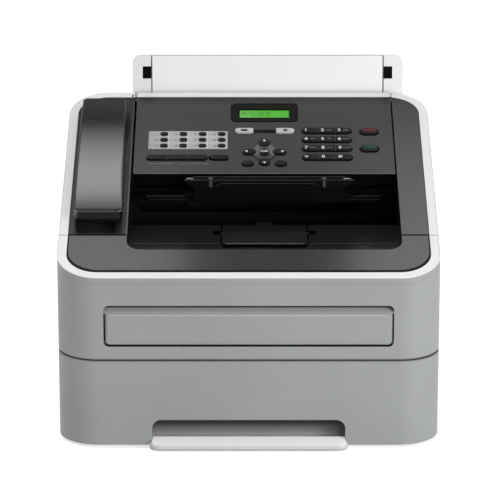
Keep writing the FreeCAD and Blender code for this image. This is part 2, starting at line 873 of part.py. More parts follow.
def make_upper_housing():
    body = new_body("upper_housing")
    top = deck_z(S.rear_face) + S.wall
    base = S.tower_top - S.wall
    pad(body, "XY", base, top, rect(-HALF, HALF, REAR_START, S.rear_face))
    round_corners(body, "XY", S.corner_radius, (-HALF, S.rear_face), (HALF, S.rear_face))
    hollow = rounded(-RIM_X, RIM_X, REAR_START - S.corner_radius, RIM_REAR, S.corner_radius - S.rim_width)
    pocket(body, "XY", base - BEYOND, top + BEYOND, hollow)
    trim_deck(body, S.rim_depth, as_size(0.0))
    left = -S.recess_left - S.fit
    right = S.recess_right + S.fit
    pocket(body, "XY", base, top + BEYOND, rect(left, right, RIM_REAR - BEYOND, S.rear_face + BEYOND))
    low = deck_z(S.rear_face) - S.rim_depth + S.fit
    stays = (
        rect(left - 2 * S.wall, left, S.rear_face - 2 * BEYOND, S.support_y + S.wall),
        rect(right, S.support_right, S.rear_face - 2 * S.wall, S.support_y + S.wall))
    pad(body, "XY", low, low + S.wall, *stays)
    front = S.support_plate + S.fit
    back = front + S.support_plate
    plate = rect(-S.support_left, S.support_right, -S.support_low, S.support_top)
    pad(body, "LEAN", front, back, plate)
    slit_left = -S.stile_left - S.deck_gap
    slit_right = S.stile_right + S.deck_gap
    stiles = (
        rect(-S.support_left, slit_left, -S.support_low, S.support_top),
        rect(slit_right, S.support_right, -S.support_low, S.support_top))
    pad(body, "LEAN", as_size(0.0), front, *stiles)
    corners = ((-S.support_left, S.support_top), (S.support_right, S.support_top))
    round_corners(body, "LEAN", S.support_round, *corners)
    windows = (
        rect(slit_left - S.window_width, slit_left + BEYOND, S.window_low, S.window_high),
        rect(slit_right - BEYOND, slit_right + S.window_width, S.window_low, S.window_high))
    pocket(body, "LEAN", -BEYOND, front, *windows)
    beam = rect(-S.support_left, FRAME_OUT, S.rear_face - S.wall / 2, S.support_y)
    pad(body, "XY", BEAM_TOP - 2 * S.wall, BEAM_TOP, beam)
    curtain = rect(-FRAME_OUT, FRAME_OUT, S.rear_face - S.wall, S.rear_face)
    pad(body, "XY", S.tower_top + S.seam, BEAM_TOP, curtain)
    pivot = disc(*deck_point(*PANEL_PIVOT), S.panel_pin + S.bearing_play)
    pocket(body, "YZ", left - 3 * S.wall, right + 3 * S.wall, pivot)


def make_document_support():
    body = new_body("document_support")
    panel = rect(-S.stile_left, S.stile_right, -S.slide_low, S.support_top)
    pad(body, "LEAN", as_size(0.0), S.support_plate, panel)


# Front cover with its deck, rim and bypass flap
RECESS = (-S.recess_left, S.recess_right)
DECK_ROUND = S.corner_radius - S.rim_width - S.deck_gap


def make_front_cover():
    body = new_body("front_cover")
    low = S.tray_front_top + S.cover_gap
    top = deck_z(COVER_END)
    inner = HALF - S.wall
    inside = FRONT + S.wall
    pad(body, "XY", low, top, rect(-HALF, HALF, FRONT, COVER_END))
    round_corners(body, "XY", S.corner_radius, (-HALF, FRONT), (HALF, FRONT))
    bevel_corners(body, "YZ", S.cover_edge, (FRONT, low))
    end = COVER_END + S.corner_radius
    hollow = rounded(-inner, inner, inside, end, S.corner_radius - S.wall)
    pocket(body, "XY", low - BEYOND, top + BEYOND, hollow)
    trim_deck(body, None, S.rim_depth + S.fit)
    rim = S.tray_wall
    back = FRONT + S.bypass_depth
    wide = S.bypass_half + rim
    liner = rect(-wide, wide, S.bypass_low - rim, S.bypass_high + rim)
    pad(body, "XZ", inside - BEYOND, back + rim, liner)
    mouth = rounded(-S.bypass_half, S.bypass_half, S.bypass_low, S.bypass_high, S.bypass_round)
    pocket(body, "XZ", FRONT - BEYOND, back, mouth)
    slot_low = S.flap_low + 2 * S.wall
    slot = rect(-S.slot_half, S.slot_half, slot_low, slot_low + 4 * S.wall)
    pocket(body, "XZ", back - BEYOND, back + rim + BEYOND, slot)
    pivot_y, pivot_z = COVER_PIVOT
    for hand in (-1, 1):
        rib_out = S.frame_half - S.deck_gap
        rib_ends = (pivot_z - 1.2 * S.cover_pin, pivot_z + 2 * S.wall)
        rib = rect(inside - BEYOND, pivot_y + S.cover_pin, *rib_ends)
        pad(body, "YZ", *span(hand, rib_out - S.frame_plate, rib_out), rib)
        pad(body, "YZ", *span(hand, rib_out - BEYOND, FRAME_OUT), disc(pivot_y, pivot_z, S.cover_pin))
    hinge = disc(FRONT + S.flap_pivot_back, S.flap_pivot_z, S.flap_pin + S.bearing_play)
    pocket(body, "YZ", -wide, wide, hinge)


def make_manual_feed_flap():
    body = new_body("manual_feed_flap")
    front = FRONT - S.deck_gap
    back = front + S.flap_deep
    half = S.bypass_half - S.flap_gap
    face = rounded(-half, half, S.flap_low, S.flap_top, S.bypass_round - S.flap_gap / 2)
    pad(body, "XZ", front, back, face)
    bevel_corners(body, "YZ", S.wall / 2, (front, S.flap_low))
    bevel = outline((front - BEYOND, S.flap_lip), (front, S.flap_lip), (back, S.flap_top),
                    (back, S.flap_top + BEYOND), (front - BEYOND, S.flap_top + BEYOND))
    pocket(body, "YZ", -half - BEYOND, half + BEYOND, bevel)
    hollow = rect(S.wall - half, half - S.wall, S.flap_low + S.wall, S.flap_lip - S.wall)
    pocket(body, "XZ", front + S.tray_wall, back + BEYOND, hollow)
    for hand in (-1, 1):
        pin = disc(FRONT + S.flap_pivot_back, S.flap_pivot_z, S.flap_pin)
        pad(body, "YZ", *span(hand, half - BEYOND, S.bypass_half + S.tray_wall - S.fit), pin)


def make_front_trim():
    body = new_body("front_trim")
    top = deck_z(COVER_END) + S.wall
    low = S.deck_front_z - 2 * S.rim_depth
    pad(body, "XY", low, top, rect(-HALF, HALF, FRONT, COVER_END))
    round_corners(body, "XY", S.corner_radius, (-HALF, FRONT), (HALF, FRONT))
    end = COVER_END + S.corner_radius
    hollow = rounded(-RIM_X, RIM_X, RIM_FRONT, end, S.corner_radius - S.rim_width)
    pocket(body, "XY", low - BEYOND, top + BEYOND, hollow)
    trim_deck(body, S.rim_depth, as_size(0.0))


def make_front_deck():
    body = new_body("front_deck")
    side = RIM_X - S.deck_gap
    front = RIM_FRONT + S.deck_gap
    top = deck_z(COVER_END) + S.wall
    low = S.deck_front_z - S.wall
    pad(body, "XY", low, top, rect(-side, side, front, COVER_END))
    round_corners(body, "XY", DECK_ROUND, (-side, front), (side, front))
    trim_deck(body, S.deck_plate, as_size(0.0))
    edge = -S.recess_front
    notch = rounded(*RECESS, edge, COVER_END + S.recess_front, S.recess_round)
    pocket(body, "XY", low, top, notch)
    floor_low = S.ramp_z - S.deck_plate
    start = edge - S.tub_wall
    out = (RECESS[0] - S.tub_wall, RECESS[1] + S.tub_wall)
    pad(body, "XY", floor_low, S.ramp_z, rect(*out, start, COVER_END))
    cheek = outline(
        (start, floor_low), (COVER_END, floor_low), (COVER_END, deck_z(COVER_END) - BEYOND),
        (start, deck_z(start) - BEYOND))
    pad(body, "YZ", out[0], RECESS[0], cheek)
    pad(body, "YZ", RECESS[1], out[1], cheek)
    finger = (COVER_END - S.stop_notch, COVER_END + S.stop_notch)
    notch = rounded(-S.stop_left, S.stop_right, *finger, S.wall)
    pocket(body, "XY", floor_low - BEYOND, S.ramp_z + BEYOND, notch)


# Output tray and document scanner
def make_output_deck():
    body = new_body("output_deck")
    side = RIM_X - S.deck_gap
    back = RIM_REAR - S.deck_gap
    top = deck_z(S.rear_face)
    spare = 2 * S.corner_radius
    blank = rounded(RECESS[1] - spare, side, REAR_START - spare, back, DECK_ROUND)
    pad(body, "XY", S.deck_front_z, top, blank)
    waste = outline(
        (RECESS[1] - spare, REAR_START - spare), (side + BEYOND, REAR_START - spare),
        (side + BEYOND, REAR_START), (RECESS[1], REAR_START), (RECESS[1], back + BEYOND),
        (RECESS[1] - spare, back + BEYOND))
    pocket(body, "XY", S.deck_front_z - BEYOND, top + BEYOND, waste)
    trim_deck(body, S.deck_plate, as_size(0.0))
    out = (RECESS[0] - S.tub_wall, RECESS[1] + S.tub_wall)
    end = S.well_back + S.tub_wall
    ramp_low = S.ramp_z - S.ramp_thick
    well_low = S.well_front_z - S.deck_plate
    end_low = S.well_back_z - S.deck_plate
    under = (
        (end, end_low), (-S.well_front - S.deck_plate, well_low),
        (-S.ramp_back - S.deck_plate, ramp_low), (REAR_START, ramp_low))
    over = (
        (REAR_START, S.ramp_z), (-S.ramp_back, S.ramp_z), (-S.well_front, S.well_front_z),
        (end, S.well_back_z))
    pad(body, "YZ", *out, outline(*over, *under))
    high = S.tower_top + S.seam
    tail = back - S.wall
    sides = (
        (REAR_START, deck_z(REAR_START) - BEYOND), (tail, deck_z(tail) - BEYOND), (tail, high),
        (end, high))
    pad(body, "YZ", out[0], RECESS[0], outline(*sides, *under))
    pad(body, "YZ", RECESS[1], out[1], outline(*sides, *under))
    pad(body, "XZ", S.well_back, end, rect(*out, end_low, high + S.wall))
    exit_ends = (S.exit_z - S.exit_radius, S.exit_z + S.exit_radius)
    exit_slot = rounded(-S.slot_half, S.slot_half, *exit_ends, S.wall)
    pocket(body, "XZ", S.well_back - BEYOND, end + BEYOND, exit_slot)
    bed = S.ramp_z - S.stop_thick - S.stop_room
    bay_end = -S.stop_pivot + S.stop_tail + 2 * S.deck_gap
    bay_left = -S.stop_left - S.seam
    bay_right = S.stop_right + S.seam
    bay = rect(bay_left, bay_right, REAR_START - BEYOND, bay_end)
    pocket(body, "XY", bed, S.ramp_z + BEYOND, bay)
    line_ends = (bay_end - BEYOND, BEYOND - S.ramp_back)
    lines = (rect(bay_left, -S.stop_left, *line_ends), rect(S.stop_right, bay_right, *line_ends))
    pocket(body, "XY", S.ramp_z - S.stop_room, S.ramp_z + BEYOND, *lines)
    middle = (S.stop_right - S.stop_left) / 2
    tongue_ends = (-S.ramp_back - BEYOND, S.tongue_reach - S.ramp_back)
    tongue = rect(middle - S.tongue_half, middle + S.tongue_half, *tongue_ends)
    pad(body, "XY", S.ramp_z - S.deck_plate, S.ramp_z, tongue)
    groove = S.stop_pin + S.fit
    reach = 3 * S.wall
    pin_ends = (-S.stop_pivot - groove, -S.stop_pivot + groove)
    pin_slot = rect(-S.stop_left - reach, S.stop_right + reach, *pin_ends)
    pocket(body, "XY", S.ramp_z - S.stop_thick / 2 - groove, S.ramp_z + BEYOND, pin_slot)


def make_output_stop_flap():
    body = new_body("output_stop_flap")
    plate = rect(-S.stop_left, S.stop_right, REAR_START + S.fit, -S.stop_pivot + S.stop_tail)
    pad(body, "XY", S.ramp_z - S.stop_thick, S.ramp_z, plate)
    pivot = disc(-S.stop_pivot, S.ramp_z - S.stop_thick / 2, S.stop_pin)
    pad(body, "YZ", -S.stop_left - 2 * S.wall, S.stop_right + 2 * S.wall, pivot)
    corners = ((-S.stop_left, REAR_START + S.fit), (S.stop_right, REAR_START + S.fit))
    round_corners(body, "XY", S.wall, *corners)


PATH_DROP = (S.panel_depth + S.path_gap) / cos(S.deck_angle)
FEED_AXIS = deck_point(S.feed_s, S.feed_h)


def make_scanner_unit():
    body = new_body("scanner_unit")
    ends = (RECESS[0] + S.fit, RECESS[1] - S.fit)
    front = S.sill_back
    ramp = front + S.sill_ramp
    back = S.scanner_back
    low = S.scanner_bottom
    profile = outline(
        (front, low), (back - 20.0, low), (back, low + 15.0), (back, deck_z(back) - PATH_DROP),
        (ramp, deck_z(ramp) - PATH_DROP), (front, S.sill_top + S.wall / 2))
    pad(body, "YZ", *ends, profile)
    sill = rect(-S.sill_left, S.sill_right, -S.sill_front, front + S.wall)
    pad(body, "XY", low, S.sill_top, sill)
    corners = ((-S.sill_left, -S.sill_front), (S.sill_right, -S.sill_front))
    round_corners(body, "XY", S.sill_round, *corners)
    slot_top = S.sill_top + 2 * S.fit + S.catch_thick
    drawer = rect(-S.catch_left - S.deck_gap, S.catch_right + S.deck_gap, S.sill_top, slot_top)
    pocket(body, "XZ", front - S.wall, front + S.catch_run, drawer)
    roller = disc(*FEED_AXIS, S.feed_roller + BEYOND)
    pocket(body, "YZ", -S.feed_left - BEYOND, S.feed_right + BEYOND, roller)
    bore = disc(*FEED_AXIS, S.shaft_radius + S.bearing_play)
    pocket(body, "YZ", *ends, bore)
    glass_low = -S.panel_depth - S.path_gap - BEYOND
    glass = rect(-S.sill_left, S.sill_right, S.feed_s - 50.0, S.feed_s - 34.0)
    pocket(body, "DECK", glass_low, glass_low + 4 * BEYOND, glass)


def make_document_catch():
    body = new_body("document_catch")
    low = S.sill_top + S.fit
    front = -S.sill_front - S.fit
    left, right = -S.catch_left, S.catch_right
    pad(body, "XY", low, low + S.catch_thick, rect(left, right, front - BEYOND, front + S.catch_run))
    top = low + S.catch_rise
    face_top = low + S.catch_face
    face = rect(left + S.catch_wing, right - S.catch_wing, S.scanner_bottom + BEYOND, face_top)
    pad(body, "XZ", front - S.wall, front, face)
    tip = top - S.wall
    handle = outline(
        (left, tip), (left + S.catch_wing, face_top - BEYOND), (right - S.catch_wing, face_top - BEYOND),
        (right, tip), (right - S.catch_wing, top), (left + S.catch_wing, top))
    grip = front - 2 * S.wall
    pad(body, "XZ", grip, front, handle)
    bevel_corners(body, "YZ", S.catch_thick, (grip, top))
    lugs = (left + S.catch_lug, right - S.catch_lug)
    slit_low = face_top + BEYOND
    slit = rect(*lugs, slit_low, slit_low + S.catch_thick)
    pocket(body, "XZ", grip - BEYOND, grip + S.catch_thick, slit)
    blocks = [rect(x - S.catch_thick, x + S.catch_thick, face_top - S.wall, tip) for x in lugs]
    pad(body, "XZ", grip - BEYOND, grip + S.wall, *blocks)
    slot_ends = (S.catch_run / 4, S.catch_run * 0.7)
    slots = [rect(x - 16.0, x + 16.0, *slot_ends) for x in (-24.0, 20.5, 65.0)]
    pocket(body, "XY", low - BEYOND, low + S.catch_thick + BEYOND, *slots)


# Rollers
def make_roller(label, axis, ends, rubbers, radius):
    body = new_body(label)
    pad(body, "YZ", *ends, disc(*axis, S.shaft_radius))
    for left, right in rubbers:
        pad(body, "YZ", left, right, disc(*axis, radius))


def make_rollers():
    shaft = (-FRAME_OUT, FRAME_OUT)
    half = S.pickup_width / 2
    make_roller("pickup_roller", (-S.pickup_y, S.pickup_z), shaft, [(-half, half)], S.pickup_radius)
    wide = S.exit_radius
    spots = [(as_size(x) - wide, as_size(x) + wide) for x in (-56.0, 56.0)]
    make_roller("print_exit_roller", (S.exit_y, S.exit_z), shaft, spots, S.exit_radius)
    shaft = (RECESS[0] + BEYOND, RECESS[1] - BEYOND)
    make_roller("document_feed_roller", FEED_AXIS, shaft, [(-S.feed_left, S.feed_right)], S.feed_roller)


# Print engine
def make_engine():
    floor = S.engine_floor + S.wall + S.fit
    shelf = S.laser_shelf + S.tray_wall + S.fit
    reach = S.slot_half
    body = new_body("toner_drum_unit")
    top = S.laser_shelf - S.wall
    tray = outline(
        (-86.0, floor), (40.0, floor), (40.0, floor + 34.0), (14.0, top), (-40.0, top),
        (-64.0, floor + 40.0), (-86.0, floor + 30.0))
    pad(body, "YZ", -reach, reach, tray)
    pocket(body, "YZ", -reach + 2 * S.wall, reach - 2 * S.wall, disc(30.0, floor + 10.0, 15.6))
    pad(body, "YZ", -reach + S.wall, reach - S.wall, disc(30.0, floor + 14.0, 12.0))
    body = new_body("fuser_unit")
    front = TOWER_FRONT + S.wall
    back = S.scanner_back
    case = outline(
        (front, floor), (back, floor), (back, floor + 46.0), (back - 12.0, floor + 60.0),
        (front, floor + 60.0))
    pad(body, "YZ", -reach - 2 * S.wall, reach + 2 * S.wall, case)
    way = rect(front - BEYOND, back + BEYOND, floor + 26.0, floor + 31.0)
    pocket(body, "YZ", -reach, reach, way)
    body = new_body("laser_unit")
    wide = reach - 14.0
    front = -8 * S.wall
    case = rect(-wide, wide, front, S.well_back - 4 * S.wall)
    pad(body, "XY", shelf, S.frame_top - S.wall, case)
    bevel_corners(body, "XY", S.wing_inset, (-wide, front), (wide, front))
    lid = rect(-wide / 2, wide / 2, as_size(0.0), S.well_back / 2)
    pocket(body, "XY", S.frame_top - 2 * S.wall, S.frame_top, lid)


# Rear door
def make_rear_cover():
    body = new_body("rear_cover")
    front = S.rear_face + S.fit
    back = S.overall_rear
    half = S.frame_half - S.seam
    pad(body, "XZ", front, back, rect(-half, half, S.door_low, S.door_high))
    bulge = S.wing_inset
    round_corners(body, "YZ", bulge, (back, S.door_low), (back, S.door_high))
    inner_half = half - S.wall
    hollow = rect(-inner_half, inner_half, S.door_low + S.wall, S.door_high - S.wall)
    pocket(body, "XZ", front - BEYOND, back - S.wall, hollow)
    for hand in (-1, 1):
        room = span(hand, S.lug_x - BEYOND, S.lug_x + S.lug_width + BEYOND)
        notch = rect(*room, front - BEYOND, S.door_pivot_y + 3 * S.wall)
        pocket(body, "XY", S.door_low - BEYOND, S.door_low + S.wall + BEYOND, notch)
        inner = S.lug_x - S.deck_gap
        rib_ends = (S.door_low + BEYOND, S.door_pivot_z + S.door_pin)
        rib = rect(S.door_pivot_y - S.door_pin, back - S.wall / 2, *rib_ends)
        pad(body, "YZ", *span(hand, inner - S.lug_width, inner), rib)
        pin = disc(S.door_pivot_y, S.door_pivot_z, S.door_pin)
        pad(body, "YZ", *span(hand, inner - BEYOND, S.lug_x + S.lug_width), pin)


# Control panel; its keys are given along X and along the slope
def key_area(x, along, width, length, grow=0.0):
    """Left, right, front and back of a key, with room all round."""
    across = width / 2 + grow
    deep = length / 2 + grow
    return x - across, x + across, along - deep, along + deep


def key_shorter(width, length):
    return width if width.value < length.value else length


def key_shape(x, along, width, length):
    """Outline of a key with round ends."""
    return rounded(*key_area(x, along, width, length), key_shorter(width, length) * KEY_ROUND)


def key_hole(x, along, width, length, grow=0.0):
    """Outline of a key's hole, or of a small key, with its corners cut off."""
    left, right, front, back = key_area(x, along, width, length, grow)
    cut = key_shorter(width, length) * KEY_CUT
    return outline(
        (left + cut, front), (right - cut, front), (right, front + cut), (right, back - cut),
        (right - cut, back), (left + cut, back), (left, back - cut), (left, front + cut))


def as_key(x, along, width, length):
    return tuple(as_size(part) for part in (x, along, width, length))


KEY_ROUND = 0.48
KEY_CUT = 0.3
DIGIT_ROWS = [S.digit_s + S.digit_pitch * i for i in range(4)]
DIGITS = (("star", "0", "hash"), ("7", "8", "9"), ("4", "5", "6"), ("1", "2", "3"))
TOUCH_ROWS = [S.touch_s + S.touch_pitch_s * i for i in range(3)]
FUNCTION_KEY = (S.function_x, S.function_s, S.function_width, S.function_length)
SINGLE_KEYS = {
    "stop_key": [as_key(122.6, 265.7, 19.0, 12.0)],
    "start_key": [as_key(122.1, 232.7, 19.0, 12.0)],
    "arrow_up_key": [as_key(15.8, 243.3, 10.5, 13.0)],
    "arrow_down_key": [as_key(15.8, 206.6, 10.5, 11.0)],
    "arrow_left_key": [as_key(1.0, 226.0, 13.5, 9.6)],
    "arrow_right_key": [as_key(30.8, 226.0, 13.5, 9.6)],
    "ok_key": [as_key(15.8, 225.6, 10.0, 11.0)],
    "clear_menu_keys": [as_key(-0.9, 204.2, 11.5, 9.0), as_key(32.4, 204.2, 11.5, 9.0)],
    "mode_keys": [as_key(-4.6, 267.1, 18.6, 9.6), as_key(37.3, 267.1, 18.6, 9.6)],
}


def make_panel_cover():
    body = new_body("panel_cover")
    left, right = -S.panel_left, S.panel_right
    pad(body, "DECK", -S.panel_skirt, as_size(0.0), rect(left, right, S.panel_front, PANEL_BACK))
    round_corners(body, "DECK", S.wall, (left, S.panel_front), (right, S.panel_front))
    shell = S.panel_shell
    inside = rect(left + shell, right - shell, S.panel_front + shell, PANEL_BACK + BEYOND)
    pocket(body, "DECK", -S.panel_skirt - BEYOND, -shell, inside)
    room = S.key_gap
    depth = (-shell - BEYOND, BEYOND)
    for keys in SINGLE_KEYS.values():
        for key in keys:
            pocket(body, "DECK", *depth, key_hole(*key, room))
    row_width = 3 * S.digit_width + 2 * room
    row = key_hole(S.digit_x, S.digit_s, row_width, S.digit_length, room)
    repeat(body, pocket(body, "DECK", *depth, row), "V_Axis", S.digit_pitch, 4)
    hole = key_hole(*FUNCTION_KEY, room)
    repeat(body, pocket(body, "DECK", *depth, hole), "H_Axis", S.function_pitch, 4)
    for along in TOUCH_ROWS:
        hole = key_hole(S.touch_x, along, S.touch_width, S.touch_length, room)
        repeat(body, pocket(body, "DECK", *depth, hole), "H_Axis", S.touch_pitch_x, 4)
    bezel = rounded(-S.bezel_left, S.bezel_right, S.bezel_front, S.bezel_back, 2 * S.wall)
    pocket(body, "DECK", *depth, bezel)


def make_keys():
    for row, along in zip(DIGITS, DIGIT_ROWS):
        for place, name in enumerate(row, -1):
            body = new_body(f"key_{name}")
            x = S.digit_x + (S.digit_width + S.key_gap) * place
            area = key_area(x, along, S.digit_width, S.digit_length)
            pad(body, "DECK", -S.key_depth, S.key_rise, rect(*area))
            if place:
                side = area[0] if place < 0 else area[1]
                ends = ((side, area[2]), (side, area[3]))
                round_corners(body, "DECK", S.digit_length * KEY_ROUND, *ends)
    for label, keys in SINGLE_KEYS.items():
        body = new_body(label)
        shape = key_shape if len(keys) == 1 else key_hole
        for key in keys:
            pad(body, "DECK", -S.key_depth, S.key_rise, shape(*key))
    body = new_body("left_key_block")
    cap = key_hole(*FUNCTION_KEY)
    repeat(body, pad(body, "DECK", -S.key_depth, S.key_rise, cap), "H_Axis", S.function_pitch, 4)
    for along in TOUCH_ROWS:
        cap = key_hole(S.touch_x, along, S.touch_width, S.touch_length)
        repeat(body, pad(body, "DECK", -S.key_depth, S.key_rise, cap), "H_Axis", S.touch_pitch_x, 4)


def make_panel_base():
    body = new_body("panel_base")
    left, right = -S.panel_left, S.panel_right
    floor = S.panel_skirt + S.deck_gap
    plate = rect(left, right, S.panel_front + BEYOND, PANEL_REAR)
    pad(body, "DECK", -S.panel_depth, -floor, plate)
    strip = rect(left, right, PANEL_BACK + S.deck_gap, PANEL_REAR)
    pad(body, "DECK", -S.panel_depth, as_size(0.0), strip)
    pivot = disc(*deck_point(*PANEL_PIVOT), S.panel_pin)
    reach = RECESS[1] - S.panel_right + 2 * S.wall
    pad(body, "YZ", left - reach, left + BEYOND, pivot)
    pad(body, "YZ", right - BEYOND, right + reach, pivot)


def make_display():
    body = new_body("display_window")
    room = S.fit
    ends = (S.bezel_front + room, S.bezel_back - room)
    frame = rounded(-S.bezel_left + room, S.bezel_right - room, *ends, 2 * S.wall - room)
    pad(body, "DECK", -S.panel_shell, S.deck_gap, frame)
    sight = rect(-S.screen_left, S.screen_right, S.screen_front, S.screen_back)
    pocket(body, "DECK", -S.panel_shell - BEYOND, BEYOND, sight)
    body = new_body("lcd_screen")
    ends = (S.screen_front + room, S.screen_back - room)
    glass = rect(-S.screen_left + room, S.screen_right - room, *ends)
    pad(body, "DECK", -S.panel_shell - BEYOND, -S.deck_gap, glass)


# Handset and its cradle
CUPS = (S.mouth_cup, S.ear_cup)
CUP_LEFT = -S.handset_left + S.cup_inset
CUP_RIGHT = -S.handset_right - S.handset_taper - S.cup_inset


def handset_corners(inset):
    """Corners of the handset, which is a little narrower at the ear."""
    left = -S.handset_left + inset
    right = -S.handset_right - inset
    front = S.handset_front + inset
    back = S.handset_back - inset
    return (left, front), (right, front), (right - S.handset_taper, back), (left, back)


def make_handset_upper():
    slab = new_body("handset_blank")
    nodes.remove(slab)
    corners = handset_corners(as_size(0.0))
    pad(slab, "DECK", S.handset_split, S.handset_top, outline(*corners))
    round_corners(slab, "DECK", S.handset_round, *corners)
    crown = doc.addObject("Part::Cylinder", "handset_crown_form")
    bind(crown, "Radius", S.handset_crown)
    bind(crown, "Height", 2 * S.handset_left)
    middle = (S.handset_front + S.handset_back) / 2
    y, z = deck_point(middle, S.handset_top - S.handset_crown)
    turn = FreeCAD.Rotation(FreeCAD.Vector(0, 1, 0), 90)
    crown.Placement = FreeCAD.Placement(FreeCAD.Vector(-2 * S.handset_left.value, y.value, z.value), turn)
    bind(crown, "Placement.Base.x", -2 * S.handset_left)
    bind(crown, "Placement.Base.y", y)
    bind(crown, "Placement.Base.z", z)
    shell = doc.addObject("Part::Common", "handset_shell")
    shell.Base = slab
    shell.Tool = crown
    doc.recompute()
    upper = doc.addObject("Part::Chamfer", "handset_upper")
    upper.Label = "handset_upper"
    upper.Base = shell
    soft = S.handset_edge.value
    edges = []
    for index, edge in enumerate(shell.Shape.Edges, 1):
        heights = [local_deck(vertex.Point)[2] for vertex in edge.Vertexes]
        if min(heights) > S.handset_split.value + soft:
            edges.append((index, soft, soft))
    upper.Edges = edges
    doc.recompute()
    nodes.append(upper)


def make_handset_lower():
    body = new_body("handset_lower")
    inset = S.handset_inset
    low = S.fit + BEYOND / 10
    corners = handset_corners(inset)
    pad(body, "DECK", low, S.handset_split - S.fit, outline(*corners))
    round_corners(body, "DECK", S.handset_round - inset, *corners)
    for start in CUPS:
        cup = rounded(CUP_LEFT, CUP_RIGHT, start, start + S.cup_length, S.handset_round - inset)
        pad(body, "DECK", -S.cup_depth, low + BEYOND, cup)
    middle = (CUP_LEFT + CUP_RIGHT) / 2
    slots = []
    for start in CUPS:
        for step in (-1, 0, 1):
            along = start + S.cup_length / 2 + step * S.hook_length
            slots.append(rect(*key_area(middle, along, S.slot_long, S.slot_wide)))
    pocket(body, "DECK", -S.cup_depth - BEYOND, -S.cup_depth + 2 * BEYOND, *slots)


def make_handset_cradle():
    body = new_body("handset_cradle")
    left = -RIM_X + S.deck_gap
    right = -S.recess_left - S.tub_wall - S.deck_gap
    back = RIM_REAR - S.deck_gap
    top = deck_z(S.rear_face)
    low = S.deck_front_z - S.cradle_depth
    pad(body, "XY", low, top, rect(left, right, REAR_START, back))
    round_corners(body, "XY", DECK_ROUND, (left, back))
    trim_deck(body, S.cradle_depth, as_size(0.0))
    room = S.cup_room
    sides = (CUP_LEFT - room, CUP_RIGHT + room)
    well_round = S.handset_round - S.handset_inset
    wells = [rounded(*sides, start - room, start + S.cup_length + room, well_round) for start in CUPS]
    pocket(body, "DECK", -S.cup_depth - room, BEYOND, *wells)
    middle = (CUP_LEFT + CUP_RIGHT) / 2
    hook = rect(*key_area(middle, S.hook_s, S.hook_width, S.hook_length, S.fit))
    pocket(body, "DECK", -S.cradle_depth - BEYOND, BEYOND, hook)
    scoop = disc(*deck_point(S.scoop_s, S.scoop_rise), S.scoop_radius)
    pocket(body, "YZ", CUP_LEFT, CUP_RIGHT, scoop)


def make_hook_plunger():
    body = new_body("hook_plunger")
    middle = (CUP_LEFT + CUP_RIGHT) / 2
    stem = rect(*key_area(middle, S.hook_s, S.hook_width, S.hook_length))
    pad(body, "DECK", -S.cup_depth, S.fit / 3, stem)


make_tray_front()
make_tray_box()
make_side_guide("side_guide_left", -1)
make_side_guide("side_guide_right", 1)
make_rear_guide()
make_lift_plate()
make_base_chassis()
make_covers()
make_main_board()
make_power_inlet()
make_power_switch()
make_rubber_feet()
make_upper_housing()
make_document_support()
make_front_cover()
make_manual_feed_flap()
make_front_trim()
make_front_deck()
make_output_deck()
make_output_stop_flap()
make_scanner_unit()
make_document_catch()
make_rollers()
make_engine()
make_rear_cover()
make_panel_cover()
make_keys()
make_panel_base()
make_display()
make_handset_upper()
make_handset_lower()
make_handset_cradle()
make_hook_plunger()

doc.recompute()
for item in doc.Objects:
    if "Invalid" in item.State or "Error" in item.State:
        raise ValueError(f"{item.Label} did not build")
os.makedirs("parts", exist_ok=True)
for node in nodes:
    if node.Shape.isNull() or not node.Shape.isValid():
        raise ValueError(f"{node.Label} has no valid shape")
    node.Shape.exportStep(f"parts/{node.Label}.step")
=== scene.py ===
import json
from math import cos, pi, radians, sin, sqrt, tan

import bmesh
import bpy
from mathutils import Matrix, Vector


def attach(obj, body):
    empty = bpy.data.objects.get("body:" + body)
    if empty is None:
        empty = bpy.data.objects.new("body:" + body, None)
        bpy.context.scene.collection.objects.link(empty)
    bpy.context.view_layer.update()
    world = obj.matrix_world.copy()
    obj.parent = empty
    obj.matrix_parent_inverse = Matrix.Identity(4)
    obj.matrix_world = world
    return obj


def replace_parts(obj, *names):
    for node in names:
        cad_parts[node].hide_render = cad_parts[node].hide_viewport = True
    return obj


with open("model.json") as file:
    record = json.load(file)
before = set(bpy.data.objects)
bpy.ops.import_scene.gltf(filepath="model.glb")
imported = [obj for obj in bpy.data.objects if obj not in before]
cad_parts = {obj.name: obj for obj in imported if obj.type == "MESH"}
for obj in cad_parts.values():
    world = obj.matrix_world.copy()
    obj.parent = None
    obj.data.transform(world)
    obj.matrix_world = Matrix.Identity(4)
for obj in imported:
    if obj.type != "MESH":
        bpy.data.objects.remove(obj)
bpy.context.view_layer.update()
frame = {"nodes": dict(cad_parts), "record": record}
nodes = frame["nodes"]

# Places and sizes are in millimetres; the deck slopes up from the front edge of the top
MM = 0.001
RIGHT = Vector((1, 0, 0))
BACK = Vector((0, 1, 0))
UP = Vector((0, 0, 1))
FRONT = -170.0
DOOR_BACK = -99.9
DECK_FRONT_Z = 172.5
DECK_SLOPE = radians(16.7)
DECK_BACK = Vector((0, cos(DECK_SLOPE), sin(DECK_SLOPE)))
ABOVE = Vector((0, -sin(DECK_SLOPE), cos(DECK_SLOPE)))
DECK_CORNER = Vector((0, FRONT, DECK_FRONT_Z))
DECK_START = DECK_CORNER.dot(DECK_BACK)
DECK_LEVEL = DECK_CORNER.dot(ABOVE)
DECK = Matrix.Translation(DECK_CORNER) @ Matrix.Rotation(DECK_SLOPE, 4, "X")

# Heights over the deck
KEY_FOOT = -5.0
KEY_RISE = 1.4
FIXED_FOOT = 0.02
INK_LEVEL = KEY_RISE + 0.13
INK_THICK = 0.05
CARD_TOP = 0.32
CARD_INK_LEVEL = 0.36
SCREEN_LEVEL = -0.48


